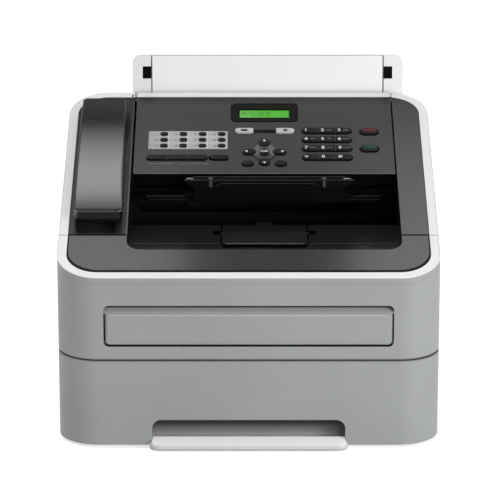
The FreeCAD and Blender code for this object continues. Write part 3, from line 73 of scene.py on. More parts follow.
def linear(value):
    """One screen colour channel, 0 to 255, as linear light."""
    part = value / 255
    return part / 12.92 if part <= 0.04045 else ((part + 0.055) / 1.055) ** 2.4


def shade(*channels):
    """A screen colour, or a grey from one number."""
    channels = channels * 3 if len(channels) == 1 else channels
    return [linear(channel) for channel in channels] + [1.0]


def scaled(colour, factor):
    """A darker or lighter colour."""
    return [part * factor for part in colour[:3]] + [1.0]


BLACK_TONE = shade(11)
GREY_TONE = shade(147, 150, 149)
WHITE_TONE = shade(235, 237, 236)
# Painted shade: a grey tone for the rounded outer edges of the white rim and the support's top edge
EDGE_SHADE = shade(196, 198, 197)


# Materials
class Finish:
    """A node material under construction, with its pattern tools."""

    def __init__(self, name, specular=0.5):
        self.material = bpy.data.materials.new(name)
        self.material.use_nodes = True
        self.tree = self.material.node_tree
        self.shader = self.tree.nodes["Principled BSDF"]
        self.fix("Specular IOR Level", specular)
        self.place = self.add("TexCoord").outputs["Object"]

    def add(self, kind, **values):
        node = self.tree.nodes.new("ShaderNode" + kind)
        for name, value in values.items():
            node.inputs[name].default_value = value
        return node

    def join(self, source, target):
        self.tree.links.new(source, target)

    def noise(self, scale, detail=2.0, stretch=None):
        texture = self.add("TexNoise", Scale=scale, Detail=detail)
        source = self.place
        if stretch:
            mapping = self.add("Mapping", Scale=stretch)
            self.join(source, mapping.inputs["Vector"])
            source = mapping.outputs["Vector"]
        self.join(source, texture.inputs["Vector"])
        return texture.outputs["Fac"]

    def ramp(self, source, start, end, low=0.0, high=1.0):
        """Maps a value from start..end to low..high, and no further."""
        reach = self.add("MapRange")
        for name, value in (("From Min", start), ("From Max", end), ("To Min", low), ("To Max", high)):
            reach.inputs[name].default_value = value
        self.join(source, reach.inputs["Value"])
        return reach.outputs["Result"]

    def blend(self, factor, first, second):
        """A colour between two, each a colour or an output."""
        mix = self.add("Mix")
        mix.data_type = "RGBA"
        self.join(factor, mix.inputs["Factor"])
        for socket, colour in zip((mix.inputs[6], mix.inputs[7]), (first, second)):
            if isinstance(colour, list):
                socket.default_value = colour
            else:
                self.join(colour, socket)
        return mix.outputs[2]

    def along(self, direction):
        """How far a point lies in a direction, in metres."""
        dot = self.add("VectorMath")
        dot.operation = "DOT_PRODUCT"
        dot.inputs[1].default_value = direction
        self.join(self.place, dot.inputs[0])
        return dot.outputs["Value"]

    def both(self, first, second):
        """Where two masks meet."""
        product = self.add("Math")
        product.operation = "MULTIPLY"
        self.join(first, product.inputs[0])
        self.join(second, product.inputs[1])
        return product.outputs["Value"]

    def past(self, direction, start, end):
        """A mask that grows from 0 at start to 1 at end in a direction, in millimetres."""
        return self.ramp(self.along(direction), start * MM, end * MM)

    def over_deck(self, level):
        """A mask over a height above the deck."""
        return self.past(ABOVE, DECK_LEVEL + level - 0.2, DECK_LEVEL + level + 0.2)

    def between(self, direction, start, end, soft):
        """A mask from start to end in a direction, in millimetres, with soft ends."""
        return self.both(self.past(direction, start - soft, start), self.past(direction, end + soft, end))

    def inside(self, across, deep, high):
        """A mask in a box: a start, an end and a softness in each direction."""
        plan = self.both(self.between(RIGHT, *across), self.between(BACK, *deep))
        return self.both(plan, self.between(UP, *high))

    def mottled(self, colour, amount=0.05, scale=9.0):
        """A colour that changes a little from place to place."""
        patches = self.ramp(self.noise(scale, 3.0), 0.3, 0.7)
        return self.blend(patches, scaled(colour, 1 - amount), scaled(colour, 1 + amount))

    def bricks(self, scale, mortar, offset=0.5):
        """A mask of the lines between bricks."""
        texture = self.add("TexBrick", Scale=scale)
        texture.inputs["Mortar Size"].default_value = mortar
        texture.offset = offset
        self.join(self.place, texture.inputs["Vector"])
        return texture.outputs["Fac"]

    def drive(self, name, source):
        """Joins an output to one of the shader's sockets."""
        self.join(source, self.shader.inputs[name])

    def fix(self, name, value):
        """Sets one of the shader's sockets for the whole surface."""
        self.shader.inputs[name].default_value = value

    def gloss(self, roughness, change=0.08, scale=60.0):
        low = roughness * (1 - change)
        high = roughness * (1 + change)
        self.drive("Roughness", self.ramp(self.noise(scale), 0.3, 0.7, low, high))

    def relief(self, height, strength, distance, edge=0.0005):
        """Surface texture on edges that are a little rounded."""
        bevel = self.add("Bevel", Radius=edge)
        bevel.samples = 4
        bump = self.add("Bump", Strength=strength, Distance=distance)
        self.join(bevel.outputs["Normal"], bump.inputs["Normal"])
        self.join(height, bump.inputs["Height"])
        self.drive("Normal", bump.outputs["Normal"])

    def moulded(self, colour, roughness, strength=0.08, grain=0.5):
        """Moulded plastic with a spark-eroded grain."""
        self.drive("Base Color", colour)
        self.gloss(roughness)
        self.relief(self.noise(1 / (3 * grain * MM)), strength, grain * MM / 4)
        return self.material

    def polished(self, colour, roughness):
        """Gloss plastic with faint ripples and a little dust in its gloss."""
        self.drive("Base Color", colour)
        self.gloss(roughness, 0.15, 240.0)
        self.relief(self.noise(55.0, 1.0), 0.02, 0.0004, 0.0006)
        return self.material

    def fine(self, colour, roughness, strength, scale, distance=0.0001, edge=0.0005):
        """A surface with an even, fine grain."""
        self.drive("Base Color", colour)
        self.gloss(roughness)
        self.relief(self.noise(scale), strength, distance, edge)
        return self.material


def moulded_plastic(name, colour, roughness, grain=0.5, strength=0.08, mottle=0.05, shade_under=None, specular=0.5):
    """Moulded plastic; under a level over the deck it may take another colour, as painted shade in recesses
    and gaps.
    """
    finish = Finish(name, specular)
    body = finish.mottled(colour, mottle)
    if shade_under:
        level, shade_colour = shade_under
        body = finish.blend(finish.over_deck(level), finish.mottled(shade_colour, mottle), body)
    return finish.moulded(body, roughness, strength, grain)


def gripped_plastic():
    """Cabinet plastic with painted shade towards the top of the cassette's grip and painted light at its
    foot.
    """
    finish = Finish("tray_grey")
    grip = finish.inside((-94, 94, 1), (FRONT + 3, FRONT + 19.5, 0.5), (0, 30, 0.5))
    shaded = finish.blend(finish.past(UP, 5.5, 19.5), shade(178, 181, 180), shade(16))
    return finish.moulded(finish.blend(grip, finish.mottled(GREY_TONE), shaded), 0.48)


def tray_plastic():
    """White cassette plastic, with painted shade: greyer on the front of its lip and darker along the lip's
    lower edge.
    """
    finish = Finish("tray_white")
    white = finish.mottled(shade(245, 247, 246), 0.01)
    front = finish.both(finish.past(BACK, -166.0, -166.8), finish.past(UP, 6.4, 6.0))
    lip = finish.blend(finish.past(UP, 3.4, 2.6), shade(204, 206, 205), shade(165, 167, 166))
    return finish.moulded(finish.blend(front, white, lip), 0.45)


def flap_plastic():
    """Cabinet plastic with painted light and shade on the slope over its face, a painted shadow line at the
    slope's top, and black sides as painted shade in the gaps.
    """
    finish = Finish("flap_grey")
    shaded = finish.blend(finish.past(UP, 135.6, 140.0), shade(136, 139, 138), shade(186, 189, 188))
    slope = finish.blend(finish.past(UP, 135.2, 135.8), finish.mottled(GREY_TONE), shaded)
    slope = finish.blend(finish.past(UP, 140.4, 141.2), slope, shade(60))
    sides = finish.both(finish.past(BACK, -168.6, -168.4), finish.past(UP, 137.8, 137.4))
    return finish.moulded(finish.blend(sides, slope, BLACK_TONE), 0.48)


def door_plastic():
    """Cabinet plastic, black as painted shade in the opening around the bypass flap, with a grey band of
    lighter painted shade beside its slope.
    """
    finish = Finish("door_grey")
    opening = finish.inside((-143, 143, 0.5), (-169.6, -140, 0.2), (100, 148, 1))
    inner = finish.blend(finish.between(UP, 136.0, 141.0, 0.8), BLACK_TONE, shade(110, 112, 111))
    return finish.moulded(finish.blend(opening, finish.mottled(GREY_TONE), inner), 0.48)


def stop_flap_plastic():
    """Deck plastic with a black front edge: painted shade in the gap under it."""
    finish = Finish("stop_flap_grey", 0.2)
    front = finish.both(finish.past(BACK, -97.0, -97.4), finish.past(UP, 183.8, 183.6))
    return finish.moulded(finish.blend(front, finish.mottled(shade(36)), shade(5)), 0.25, 0.02)


def support_plastic():
    """White plate with dark side edges, painted shade in its slits, and a greyer top edge, painted shade on
    the rounded edge.
    """
    finish = Finish("support_white")
    plate = finish.between(RIGHT, -100.3, 139.3, 0.15)
    body = finish.blend(plate, shade(30), finish.mottled(shade(244, 246, 245), 0.01))
    return finish.moulded(finish.blend(finish.past(UP, 307.0, 307.5), body, EDGE_SHADE), 0.4, 0.03)


def rim_plastic(name, limits):
    """White on top and cabinet grey on the outer wall; between limits across, black inside as painted shade
    in the gaps; the outer edges greyer as painted shade.
    """
    finish = Finish(name)
    top = finish.over_deck(-0.6)
    body = finish.blend(top, finish.mottled(GREY_TONE), WHITE_TONE)
    if limits:
        lower = finish.blend(finish.past(BACK, 169.3, 169.7), BLACK_TONE, WHITE_TONE)
        support = finish.blend(finish.past(UP, 260.5, 261.0), lower, WHITE_TONE)
        under = finish.blend(finish.past(BACK, 159.4, 159.8), BLACK_TONE, support)
        middle = finish.blend(top, under, WHITE_TONE)
        body = finish.blend(finish.past(BACK, 161.5, 162.0), body, WHITE_TONE)
        body = finish.blend(finish.between(RIGHT, -limits, limits, 0.5), body, middle)
    body = finish.blend(finish.between(RIGHT, -183.1, 183.1, 0.4), EDGE_SHADE, body)
    return finish.moulded(body, 0.35, 0.03)


def cradle_plastic():
    """Deck plastic around the handset, with painted shade that deepens to the back, a painted shadow under
    and before the handset, and painted light at the front of its scoop.
    """
    finish = Finish("cradle_grey", 0.12)
    body = finish.blend(finish.past(DECK_BACK, DECK_START + 75, DECK_START + 310), shade(38), shade(25))
    handset_shadow = finish.both(
        finish.between(RIGHT, -166, -130, 6), finish.between(DECK_BACK, DECK_START + 77, 999, 8))
    body = finish.blend(handset_shadow, body, shade(16))
    scoop = finish.blend(finish.past(DECK_BACK, DECK_START + 78, DECK_START + 91), shade(84), shade(36))
    return finish.moulded(finish.blend(finish.over_deck(-0.7), scoop, body), 0.28, 0.02)


def rear_plastic():
    """Cabinet grey on the outside, black towards the paper path as painted shade seen through the gaps."""
    finish = Finish("rear_grey")
    hidden = finish.inside((-126, 126, 0.3), (150, 177.3, 0.3), (43.5, 187, 0.3))
    return finish.moulded(finish.blend(hidden, finish.mottled(GREY_TONE), BLACK_TONE), 0.48)


def polished_plastic(name, colour, roughness, specular=0.5):
    """Gloss plastic of one colour."""
    finish = Finish(name, specular)
    return finish.polished(finish.mottled(colour, 0.08, 14.0), roughness)


def handset_plastic():
    """Polished shell plastic, with painted light on the front face."""
    finish = Finish("handset_black", 0.6)
    front = finish.past(DECK_BACK, DECK_START + 95.8, DECK_START + 95.2)
    return finish.polished(finish.blend(front, finish.mottled(shade(18), 0.08, 14.0), shade(44)), 0.13)


def lit_screen():
    """Green display: brighter at the left, with the faint grid of its cells."""
    finish = Finish("screen_green", 0.1)
    body = finish.blend(finish.past(RIGHT, -9.5, 12.0), shade(124, 206, 92), shade(84, 190, 50))
    grid = finish.ramp(finish.bricks(420.0, 0.05, 0.0), 0.0, 1.0, 0.0, 0.25)
    return finish.fine(finish.blend(grid, body, shade(60, 160, 36)), 0.25, 0.02, 400.0)


def rolled_steel():
    """Sheet steel with fine rolling lines."""
    finish = Finish("steel")
    finish.fix("Metallic", 1.0)
    lines = finish.noise(900.0, 2.0, (1.0, 0.02, 1.0))
    finish.drive("Base Color", finish.blend(finish.ramp(lines, 0.3, 0.7), shade(165), shade(195)))
    finish.drive("Roughness", finish.ramp(lines, 0.3, 0.7, 0.28, 0.42))
    finish.relief(lines, 0.05, 0.0001)
    return finish.material


def matt_rubber():
    """Rubber with a dusty bloom."""
    finish = Finish("rubber", 0.3)
    bloom = finish.ramp(finish.noise(40.0, 4.0), 0.35, 0.75)
    return finish.fine(finish.blend(bloom, shade(26), shade(44)), 0.75, 0.2, 2500.0)


def lacquered_board():
    """Circuit board with its tracks under green lacquer, and black sockets."""
    finish = Finish("board_green")
    board = finish.blend(finish.bricks(90.0, 0.12), shade(24, 84, 44), shade(52, 120, 62))
    return finish.fine(finish.blend(finish.past(RIGHT, -151.3, -151.7), board, shade(24)), 0.35, 0.05, 700.0)


def printed_ink(name, colour):
    """Screen-printed ink, a little uneven."""
    finish = Finish(name, 0.3)
    return finish.fine(finish.mottled(colour, 0.04, 300.0), 0.45, 0.05, 1800.0, 0.00005, 0.0001)


def tinted_key(name, colour):
    """Key top in tinted plastic, a little cloudy."""
    finish = Finish(name, 0.1)
    cloud = finish.ramp(finish.noise(120.0), 0.3, 0.7)
    return finish.fine(finish.blend(cloud, scaled(colour, 0.75), colour), 0.28, 0.03, 500.0)


CABINET = moulded_plastic("cabinet_grey", GREY_TONE, 0.48)
FLAP_GREY = flap_plastic()
# Light grey for a painted highlight along the bypass flap's top edge
FLAP_HIGHLIGHT = moulded_plastic("flap_highlight", shade(188, 191, 190), 0.48)
TRIM = rim_plastic("white_trim", None)
HOUSING_WHITE = rim_plastic("housing_white", 152)
# The strip's underside is painted black as shade in the gaps around the panel
TRIM_STRIP = moulded_plastic(
    "white_strip", WHITE_TONE, 0.35, strength=0.03, mottle=0.01, shade_under=(-2.0, BLACK_TONE))
# Under the deck's surface the colour darkens: painted shade in the recess
DECK_GREY = moulded_plastic(
    "deck_grey", shade(42), 0.16, strength=0.02, shade_under=(-0.7, shade(32)), specular=0.2)
# Under the panel's surface it turns black: painted shade in its gaps
PANEL_GREY = moulded_plastic(
    "panel_grey", shade(42), 0.22, strength=0.04, shade_under=(-0.7, BLACK_TONE), specular=0.15)
# Light grey for painted highlights along the front edges of the panel and the stop flap
EDGE_HIGHLIGHT = moulded_plastic("panel_edge", shade(96), 0.3, strength=0.02, specular=0.3)
BLACK = moulded_plastic("black_plastic", BLACK_TONE, 0.3, strength=0.04, specular=0.04)
CRADLE_GREY = cradle_plastic()
# Glossy grey, lighter than the black catch and sill it edges: real gloss with a painted highlight
EDGE_GLOSS_HIGHLIGHT = polished_plastic("edge_gloss_highlight", shade(34), 0.2)
HANDSET_BLACK = handset_plastic()
# Matt black for painted shade in seams and slots
SEAM_SHADE = moulded_plastic("seam_shade", shade(5), 0.7, strength=0.02, specular=0.0)
# Bright grey for painted glints on edges
EDGE_GLINT = polished_plastic("edge_glint", shade(150), 0.2)
# Light grey for a painted highlight on the edges of joined keys
KEY_EDGE_HIGHLIGHT = moulded_plastic("key_edge_highlight", shade(96), 0.4, strength=0.02, specular=0.2)
PALE = moulded_plastic("pale_grey", shade(238, 240, 239), 0.45)
TRAY_WHITE = tray_plastic()
KEY_BLACK = polished_plastic("key_black", shade(18), 0.28, specular=0.06)
KEY_SILVER = moulded_plastic("key_silver", shade(190), 0.28, strength=0.02, specular=0.3)
RED_TOP = tinted_key("red_key_top", shade(94, 27, 40))
GREEN_TOP = tinted_key("green_key_top", shade(18, 70, 45))
CARD_GREY = moulded_plastic("name_card", shade(176), 0.4, grain=0.3, strength=0.03, specular=0.2)
DISH_GREY = moulded_plastic("arrow_dish", shade(36), 0.2, strength=0.02)
GLASS_BLACK = polished_plastic("display_black", shade(13), 0.12, specular=0.025)
WHITE_INK = printed_ink("white_ink", shade(226))
GREY_INK = printed_ink("grey_ink", shade(118))
CARD_INK = printed_ink("card_ink", shade(92))
DARK_INK = printed_ink("dark_ink", shade(24))
SCREEN_INK = printed_ink("screen_ink", shade(26, 92, 18))
STEEL = rolled_steel()

SLOT_FINISH = {
    "cabinet_grey": CABINET, "white_trim": TRIM, "deck_grey": DECK_GREY, "black_plastic": BLACK,
    "handset_black": HANDSET_BLACK, "pale_grey": PALE, "key_black": KEY_BLACK, "key_silver": KEY_SILVER,
    "key_grey": KEY_BLACK, "screen_green": lit_screen(), "steel": STEEL, "rubber": matt_rubber(),
    "board_green": lacquered_board()}
OWN_FINISH = {
    "panel_cover": PANEL_GREY, "panel_base": TRIM_STRIP, "display_window": GLASS_BLACK,
    "upper_housing": HOUSING_WHITE, "document_support": support_plastic(), "tray_front": gripped_plastic(),
    "manual_feed_flap": FLAP_GREY, "handset_cradle": CRADLE_GREY, "output_stop_flap": stop_flap_plastic(),
    "rear_cover": rear_plastic(), "front_cover": door_plastic(), "tray_box": TRAY_WHITE}
for entry in frame["record"]["subparts"]:
    node = nodes[entry["node"]]
    node.data.materials.clear()
    node.data.materials.append(OWN_FINISH.get(entry["node"], SLOT_FINISH[entry["material_slot"]]))


# Mesh tools
def new_object(name, data):
    """An object in the scene."""
    thing = bpy.data.objects.new(name, data)
    bpy.context.collection.objects.link(thing)
    return thing


def outward_mesh(name, shape):
    """A mesh from vertices and faces in millimetres, with its faces turned outwards."""
    vertices, faces = shape
    mesh = bpy.data.meshes.new(name)
    mesh.from_pydata([tuple(Vector(vertex) * MM) for vertex in vertices], [], faces)
    form = bmesh.new()
    form.from_mesh(mesh)
    bmesh.ops.recalc_face_normals(form, faces=form.faces)
    form.to_mesh(mesh)
    form.free()
    return mesh


def add_mesh(name, mesh, material, body, sharp=35):
    """A finished piece from a mesh, riding on a body."""
    for polygon in mesh.polygons:
        polygon.use_smooth = True
    mesh.set_sharp_from_angle(angle=radians(sharp))
    mesh.materials.clear()
    mesh.materials.append(material)
    piece = new_object(name, mesh)
    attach(piece, body)
    return piece


def add_piece(name, shape, material, body, sharp=35):
    """A finished piece from vertices and faces in millimetres."""
    return add_mesh(name, outward_mesh(name, shape), material, body, sharp)


def together(shapes):
    """Several shapes as one."""
    vertices, faces = [], []
    for more_vertices, more_faces in shapes:
        start = len(vertices)
        vertices += more_vertices
        faces += [[start + index for index in face] for face in more_faces]
    return vertices, faces


def on_deck(shape):
    """A shape drawn as across, along and above the deck, put in place."""
    vertices, faces = shape
    return [DECK @ Vector(vertex) for vertex in vertices], faces


def panel_piece(name, shapes, material, sharp=35):
    """Shapes on the deck as one piece of the control panel."""
    return add_piece(name, on_deck(together(shapes)), material, "control_panel", sharp)


def key_piece(node, ending, shape, material):
    """A shape on the deck as a piece of a key that moves."""
    return add_piece(node + ending, on_deck(shape), material, "press_" + node)


def skin(rings):
    """A closed form over rings of points, with flat ends."""
    count = len(rings[0])
    vertices = [point for ring in rings for point in ring]
    faces = [list(range(count))[::-1], list(range(len(vertices) - count, len(vertices)))]
    for low in range(0, len(vertices) - count, count):
        for i in range(count):
            after = (i + 1) % count
            faces.append([low + i, low + after, low + count + after, low + count + i])
    return vertices, faces


def prism(outline, low, high):
    """A closed straight block over an outline."""
    return skin([[(x, y, level) for x, y in outline] for level in (low, high)])


def crossways(profile, left, right):
    """A closed straight block from left to right over a profile of depths and heights."""
    return skin([[(x, y, z) for y, z in profile] for x in (left, right)])


def bead(points, radius, sides=8):
    """A thin rounded edge that runs across, through points."""
    turns = [2 * pi * i / sides for i in range(sides)]
    return skin([[(x, y + radius * cos(turn), z + radius * sin(turn)) for turn in turns]
                 for x, y, z in points])


def straight_bead(left, right, y, z, radius):
    return bead([(left, y, z), (right, y, z)], radius)


def round_chain(side, end_x, front, back, radius, arc_steps, runs):
    """One side of a rounded outline, from its front to its back."""
    middle = end_x - side * radius
    turns = [pi / 2 * i / arc_steps for i in range(arc_steps + 1)]
    chain = [(middle + side * radius * sin(turn), front + radius - radius * cos(turn))
             for turn in turns]
    for i in range(1, runs):
        chain.append((end_x, front + radius + (back - front - 2 * radius) * i / runs))
    chain += [(middle + side * radius * cos(turn), back - radius + radius * sin(turn))
              for turn in turns]
    return chain


def cap(area, radii, rings, arc_steps=5, runs=1, taper=0.0, crown=None):
    """A closed cap: rings of inset and height from its foot to its top, over a rounded outline."""
    left, right, front, back = area
    vertices, faces = [], []
    count = 2 * arc_steps + 1 + runs
    for number, (inset, height) in enumerate(rings):
        for side, end_x, radius in ((-1, left + inset, radii[0]), (1, right - inset, radii[1])):
            inner = max(radius - inset, 0.05)
            chain = round_chain(side, end_x, front + inset, back - inset, inner, arc_steps, runs)
            for x, along in chain:
                share = (along - front) / (back - front)
                lean = taper * share if side > 0 else 0.0
                rise = crown(along) if crown and number else 0.0
                vertices.append((x - lean, along, height + rise))
    loop = list(range(count)) + list(range(2 * count - 1, count - 1, -1))
    for ring in range(len(rings) - 1):
        low, high = ring * 2 * count, (ring + 1) * 2 * count
        for here, there in zip(loop, loop[1:] + loop[:1]):
            faces.append([low + here, low + there, high + there, high + here])
    for start in (0, (len(rings) - 1) * 2 * count):
        for row in range(count - 1):
            faces.append([start + row, start + count + row, start + count + row + 1, start + row + 1])
    return vertices, faces


def soft_rings(foot, top, edge, steps=4, dome=0.0):
    """Rings of a cap with a rounded upper edge and a slightly domed top."""
    rings = [(0.0, foot), (0.0, top - edge)]
    for i in range(1, steps + 1):
        turn = pi / 2 * i / steps
        rings.append((edge * (1 - cos(turn)), top - edge + edge * sin(turn)))
    if dome:
        rings += [(edge * inset, top + dome * share) for inset, share in ((2.2, 0.6), (3.6, 1.0))]
    return rings


def around(x, along, width, length):
    """The left, right, front and back of an area, from its middle and size."""
    return x - width / 2, x + width / 2, along - length / 2, along + length / 2


def flat_block(area, low, high, corner=0.1):
    """A straight block over an area with small round corners."""
    return cap(area, (corner, corner), ((0.0, low), (0.0, high)))


def ink(outline):
    """A printed mark on a key."""
    return prism(outline, INK_LEVEL, INK_LEVEL + INK_THICK)


def lettering(text, x, along, above, height):
    """Solid letters on the deck, centred on a place, as high as told."""
    capital = 0.7
    curve = bpy.data.curves.new("letters", "FONT")
    curve.body = text
    curve.align_x = "CENTER"
    curve.offset = 0.018
    curve.extrude = 0.01
    curve.resolution_u = 2
    holder = new_object("letters", curve)
    mesh = bpy.data.meshes.new_from_object(holder)
    ups = [vertex.co.y for vertex in mesh.vertices]
    middle = (min(ups) + max(ups)) / 2
    scale = height / capital
    vertices = []
    for vertex in mesh.vertices:
        rise = INK_THICK if vertex.co.z > 0 else 0.0
        vertices.append((x + vertex.co.x * scale, along + (vertex.co.y - middle) * scale, above + rise))
    faces = [list(polygon.vertices) for polygon in mesh.polygons]
    bpy.data.objects.remove(holder)
    bpy.data.curves.remove(curve)
    bpy.data.meshes.remove(mesh)
    return vertices, faces


def repeating_tree():
    """A node tree that repeats a shape in columns and rows, then sets it at a place and lean."""
    tree = bpy.data.node_groups.new("rows_and_columns", "GeometryNodeTree")
    wanted = (
        ("Shape", "Geometry"), ("Columns", "Int"), ("Rows", "Int"), ("Column Step", "Vector"),
        ("Row Step", "Vector"), ("Place", "Vector"), ("Lean", "Vector"), ("Finish", "Material"))
    for name, kind in wanted:
        tree.interface.new_socket(name, in_out="INPUT", socket_type="NodeSocket" + kind)
    tree.interface.new_socket("Shape", in_out="OUTPUT", socket_type="NodeSocketGeometry")
    start = tree.nodes.new("NodeGroupInput")
    end = tree.nodes.new("NodeGroupOutput")
    columns, rows, spread, settle, copies, place, solid, colour = [
        tree.nodes.new("GeometryNode" + kind) for kind in (
            "MeshLine", "MeshLine", "InstanceOnPoints", "RealizeInstances", "InstanceOnPoints", "Transform",
            "RealizeInstances", "SetMaterial")]
    links = (
        (start, "Columns", columns, "Count"), (start, "Column Step", columns, "Offset"),
        (start, "Rows", rows, "Count"), (start, "Row Step", rows, "Offset"),
        (rows, "Mesh", spread, "Points"), (columns, "Mesh", spread, "Instance"),
        (spread, "Instances", settle, "Geometry"), (settle, "Geometry", copies, "Points"),
        (start, "Shape", copies, "Instance"), (copies, "Instances", place, "Geometry"),
        (start, "Place", place, "Translation"), (start, "Lean", place, "Rotation"),
        (place, "Geometry", solid, "Geometry"), (solid, "Geometry", colour, "Geometry"),
        (start, "Finish", colour, "Material"), (colour, "Geometry", end, "Shape"))
    for source, output, target, socket in links:
        tree.links.new(source.outputs[output], target.inputs[socket])
    return tree


ROWS_AND_COLUMNS = repeating_tree()


def repeated(name, shape, finish, columns, rows, place, lean):
    """A shape repeated by the node tree, as a plain mesh; columns and rows are a count and a step."""
    holder = new_object(name, outward_mesh(name, shape))
    modifier = holder.modifiers.new("rows", "NODES")
    modifier.node_group = ROWS_AND_COLUMNS
    values = {
        "Columns": columns[0], "Column Step": Vector((columns[1], 0, 0)) * MM, "Rows": rows[0],
        "Row Step": Vector((0, rows[1], 0)) * MM, "Place": Vector(place) * MM, "Lean": (lean, 0, 0),
        "Finish": finish}
    for socket in ROWS_AND_COLUMNS.interface.items_tree:
        if socket.in_out == "INPUT" and socket.name in values:
            modifier[socket.identifier] = values[socket.name]
    view = bpy.context.evaluated_depsgraph_get()
    result = bpy.data.meshes.new_from_object(holder.evaluated_get(view))
    holder.modifiers.clear()
    bpy.data.objects.remove(holder)
    return result


# Keys, placed by the middle of each on the deck
KEY_RINGS = soft_rings(KEY_FOOT, KEY_RISE, 0.45, dome=0.12)
FIXED_RINGS = soft_rings(FIXED_FOOT, KEY_RISE, 0.45, dome=0.12)
SQUARE_END = 0.35
ROUND_END = 4.2
WEB_WIDTH = 0.3
DIGIT_ROWS = (("star", "0", "hash"), ("7", "8", "9"), ("4", "5", "6"), ("1", "2", "3"))
DIGIT_MIDDLE, DIGIT_FRONT = 79.3, 215.9
DIGIT_ACROSS, DIGIT_ALONG = 17.0, 17.1
DIGIT_SIZE = (16.6, 10.4)
SIGN_HEIGHT, LETTER_HEIGHT, WORD_HEIGHT, NUMBER_HEIGHT = 5.0, 2.1, 3.7, 3.0
SIGNS = {"hash": "#"}
LETTERS = {
    "2": "ABC", "3": "DEF", "4": "GHI", "5": "JKL", "6": "MNO", "7": "PQRS", "8": "TUV", "9": "WXYZ"}
ARROW_KEYS = (
    ("arrow_up_key", (15.8, 243.3), (10.5, 13.0), (0.0, 3.4), 0),
    ("arrow_down_key", (15.8, 206.6), (10.5, 11.0), (0.0, -1.6), 180),
    ("arrow_left_key", (1.0, 226.0), (13.5, 9.6), (-3.2, 0.4), 90),
    ("arrow_right_key", (30.8, 226.0), (13.5, 9.6), (3.2, 0.4), 270))
TOUCH_LEFT, TOUCH_FRONT = -85.8, 238.0
TOUCH_ACROSS, TOUCH_ALONG = 19.5, 11.3
TOUCH_COLUMNS, TOUCH_ROWS = 4, 3
FUNCTION_PLACE, FUNCTION_LENGTH = 215.5, 8.8
FUNCTION_KEYS = (
    (-92.6, 20.3, (ROUND_END, SQUARE_END)), (-72.0, 20.3, (SQUARE_END, SQUARE_END)),
    (-51.4, 20.3, (SQUARE_END, ROUND_END)), (-29.4, 18.8, (ROUND_END, ROUND_END)))


def digit_place(row, column):
    return DIGIT_MIDDLE + DIGIT_ACROSS * column, DIGIT_FRONT + DIGIT_ALONG * row


def key_cap(node, place, size, ends=(True, True)):
    """A glossy cap in place of a plain key, round or square at its left and right end."""
    radii = [min(size) * 0.48 if end else SQUARE_END for end in ends]
    shape = cap(around(*place, *size), radii, KEY_RINGS)
    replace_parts(key_piece(node, "_cap", shape, KEY_BLACK), node)


def key_print(node, sign):
    """A white sign on a key."""
    key_piece(node, "_print", sign, WHITE_INK)


def star(x, along, size=2.0, slimness=0.16):
    """A star of three crossed bars."""
    bars = []
    middle = Vector((x, along))
    for turn in (30, 90, 150):
        ahead = Vector((cos(radians(turn)), sin(radians(turn)))) * size
        side = Vector((-ahead.y, ahead.x)) * slimness
        bars.append(ink((middle - ahead - side, middle + ahead - side, middle + ahead + side,
                         middle - ahead + side)))
    return together(bars)


def digit_keys():
    """Twelve keys with a sign at the left and letters at the right."""
    for row, names in enumerate(DIGIT_ROWS):
        for column, name in enumerate(names, -1):
            node = "key_" + name
            x, along = digit_place(row, column)
            key_cap(node, (x, along), DIGIT_SIZE, (column < 0, column > 0))
            spot = (x - 4.2, along + 0.4)
            if name == "star":
                key_print(node, star(*spot))
            else:
                key_print(node, lettering(SIGNS.get(name, name), *spot, INK_LEVEL, SIGN_HEIGHT))
            if name in LETTERS:
                small = lettering(LETTERS[name], x + 2.6, along + 0.3, INK_LEVEL, LETTER_HEIGHT)
                key_piece(node, "_letters", small, GREY_INK)


def arrow(x, along, turn, width=1.9, length=2.47):
    """A small triangle that points where it is turned."""
    turns = [radians(corner + turn) for corner in (90, 210, 330)]
    return ink([(x + width * cos(angle), along + length * sin(angle)) for angle in turns])


def arrow_keys():
    """Four arrow keys around the confirming key."""
    for node, place, size, shift, turn in ARROW_KEYS:
        key_cap(node, place, size)
        key_print(node, arrow(place[0] + shift[0], place[1] + shift[1], turn))
    key_cap("ok_key", (15.8, 225.6), (10.0, 11.0))
    key_print("ok_key", lettering("OK", 15.8, 226.4, INK_LEVEL, WORD_HEIGHT))


def stop_and_start_keys():
    """Black keys with a coloured plate let into their top."""
    keys = (("stop_key", 122.6, 265.7, RED_TOP), ("start_key", 122.1, 232.7, GREEN_TOP))
    rings = soft_rings(KEY_RISE - 0.6, KEY_RISE + 0.35, 0.3)
    for node, x, along, finish in keys:
        key_cap(node, (x, along), (19.0, 12.0))
    for node, x, along, finish in keys:
        plate = cap(around(x, along + 1.8, 14.6, 5.8), (2.8, 2.8), rings)
        key_piece(node, "_top", plate, finish)


def left_block_keys():
    """One-touch keys in rows, and the row of function keys before them."""
    touch = cap(around(0, 0, 7.8, 6.6), (2.9, 2.9), soft_rings(FIXED_FOOT, KEY_RISE, 0.4, dome=0.1))
    rows = repeated(
        "touch_keys", touch, KEY_BLACK, (TOUCH_COLUMNS, TOUCH_ACROSS), (TOUCH_ROWS, TOUCH_ALONG),
        DECK @ Vector((TOUCH_LEFT, TOUCH_FRONT, 0)), DECK_SLOPE)
    piece = add_mesh("one_touch_caps", rows, KEY_BLACK, "control_panel")
    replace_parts(piece, "left_key_block")
    caps = [cap(around(x, FUNCTION_PLACE, width, FUNCTION_LENGTH), radii, FIXED_RINGS)
            for x, width, radii in FUNCTION_KEYS]
    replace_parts(panel_piece("function_caps", caps, KEY_BLACK), "left_key_block")


def clear_and_menu_keys():
    """The pair beside the lower arrow."""
    pair = [cap(around(x, 204.2, 11.5, 9.0), (ROUND_END, ROUND_END), KEY_RINGS) for x in (-0.9, 32.4)]
    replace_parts(panel_piece("clear_menu_caps", pair, KEY_BLACK), "clear_menu_keys")


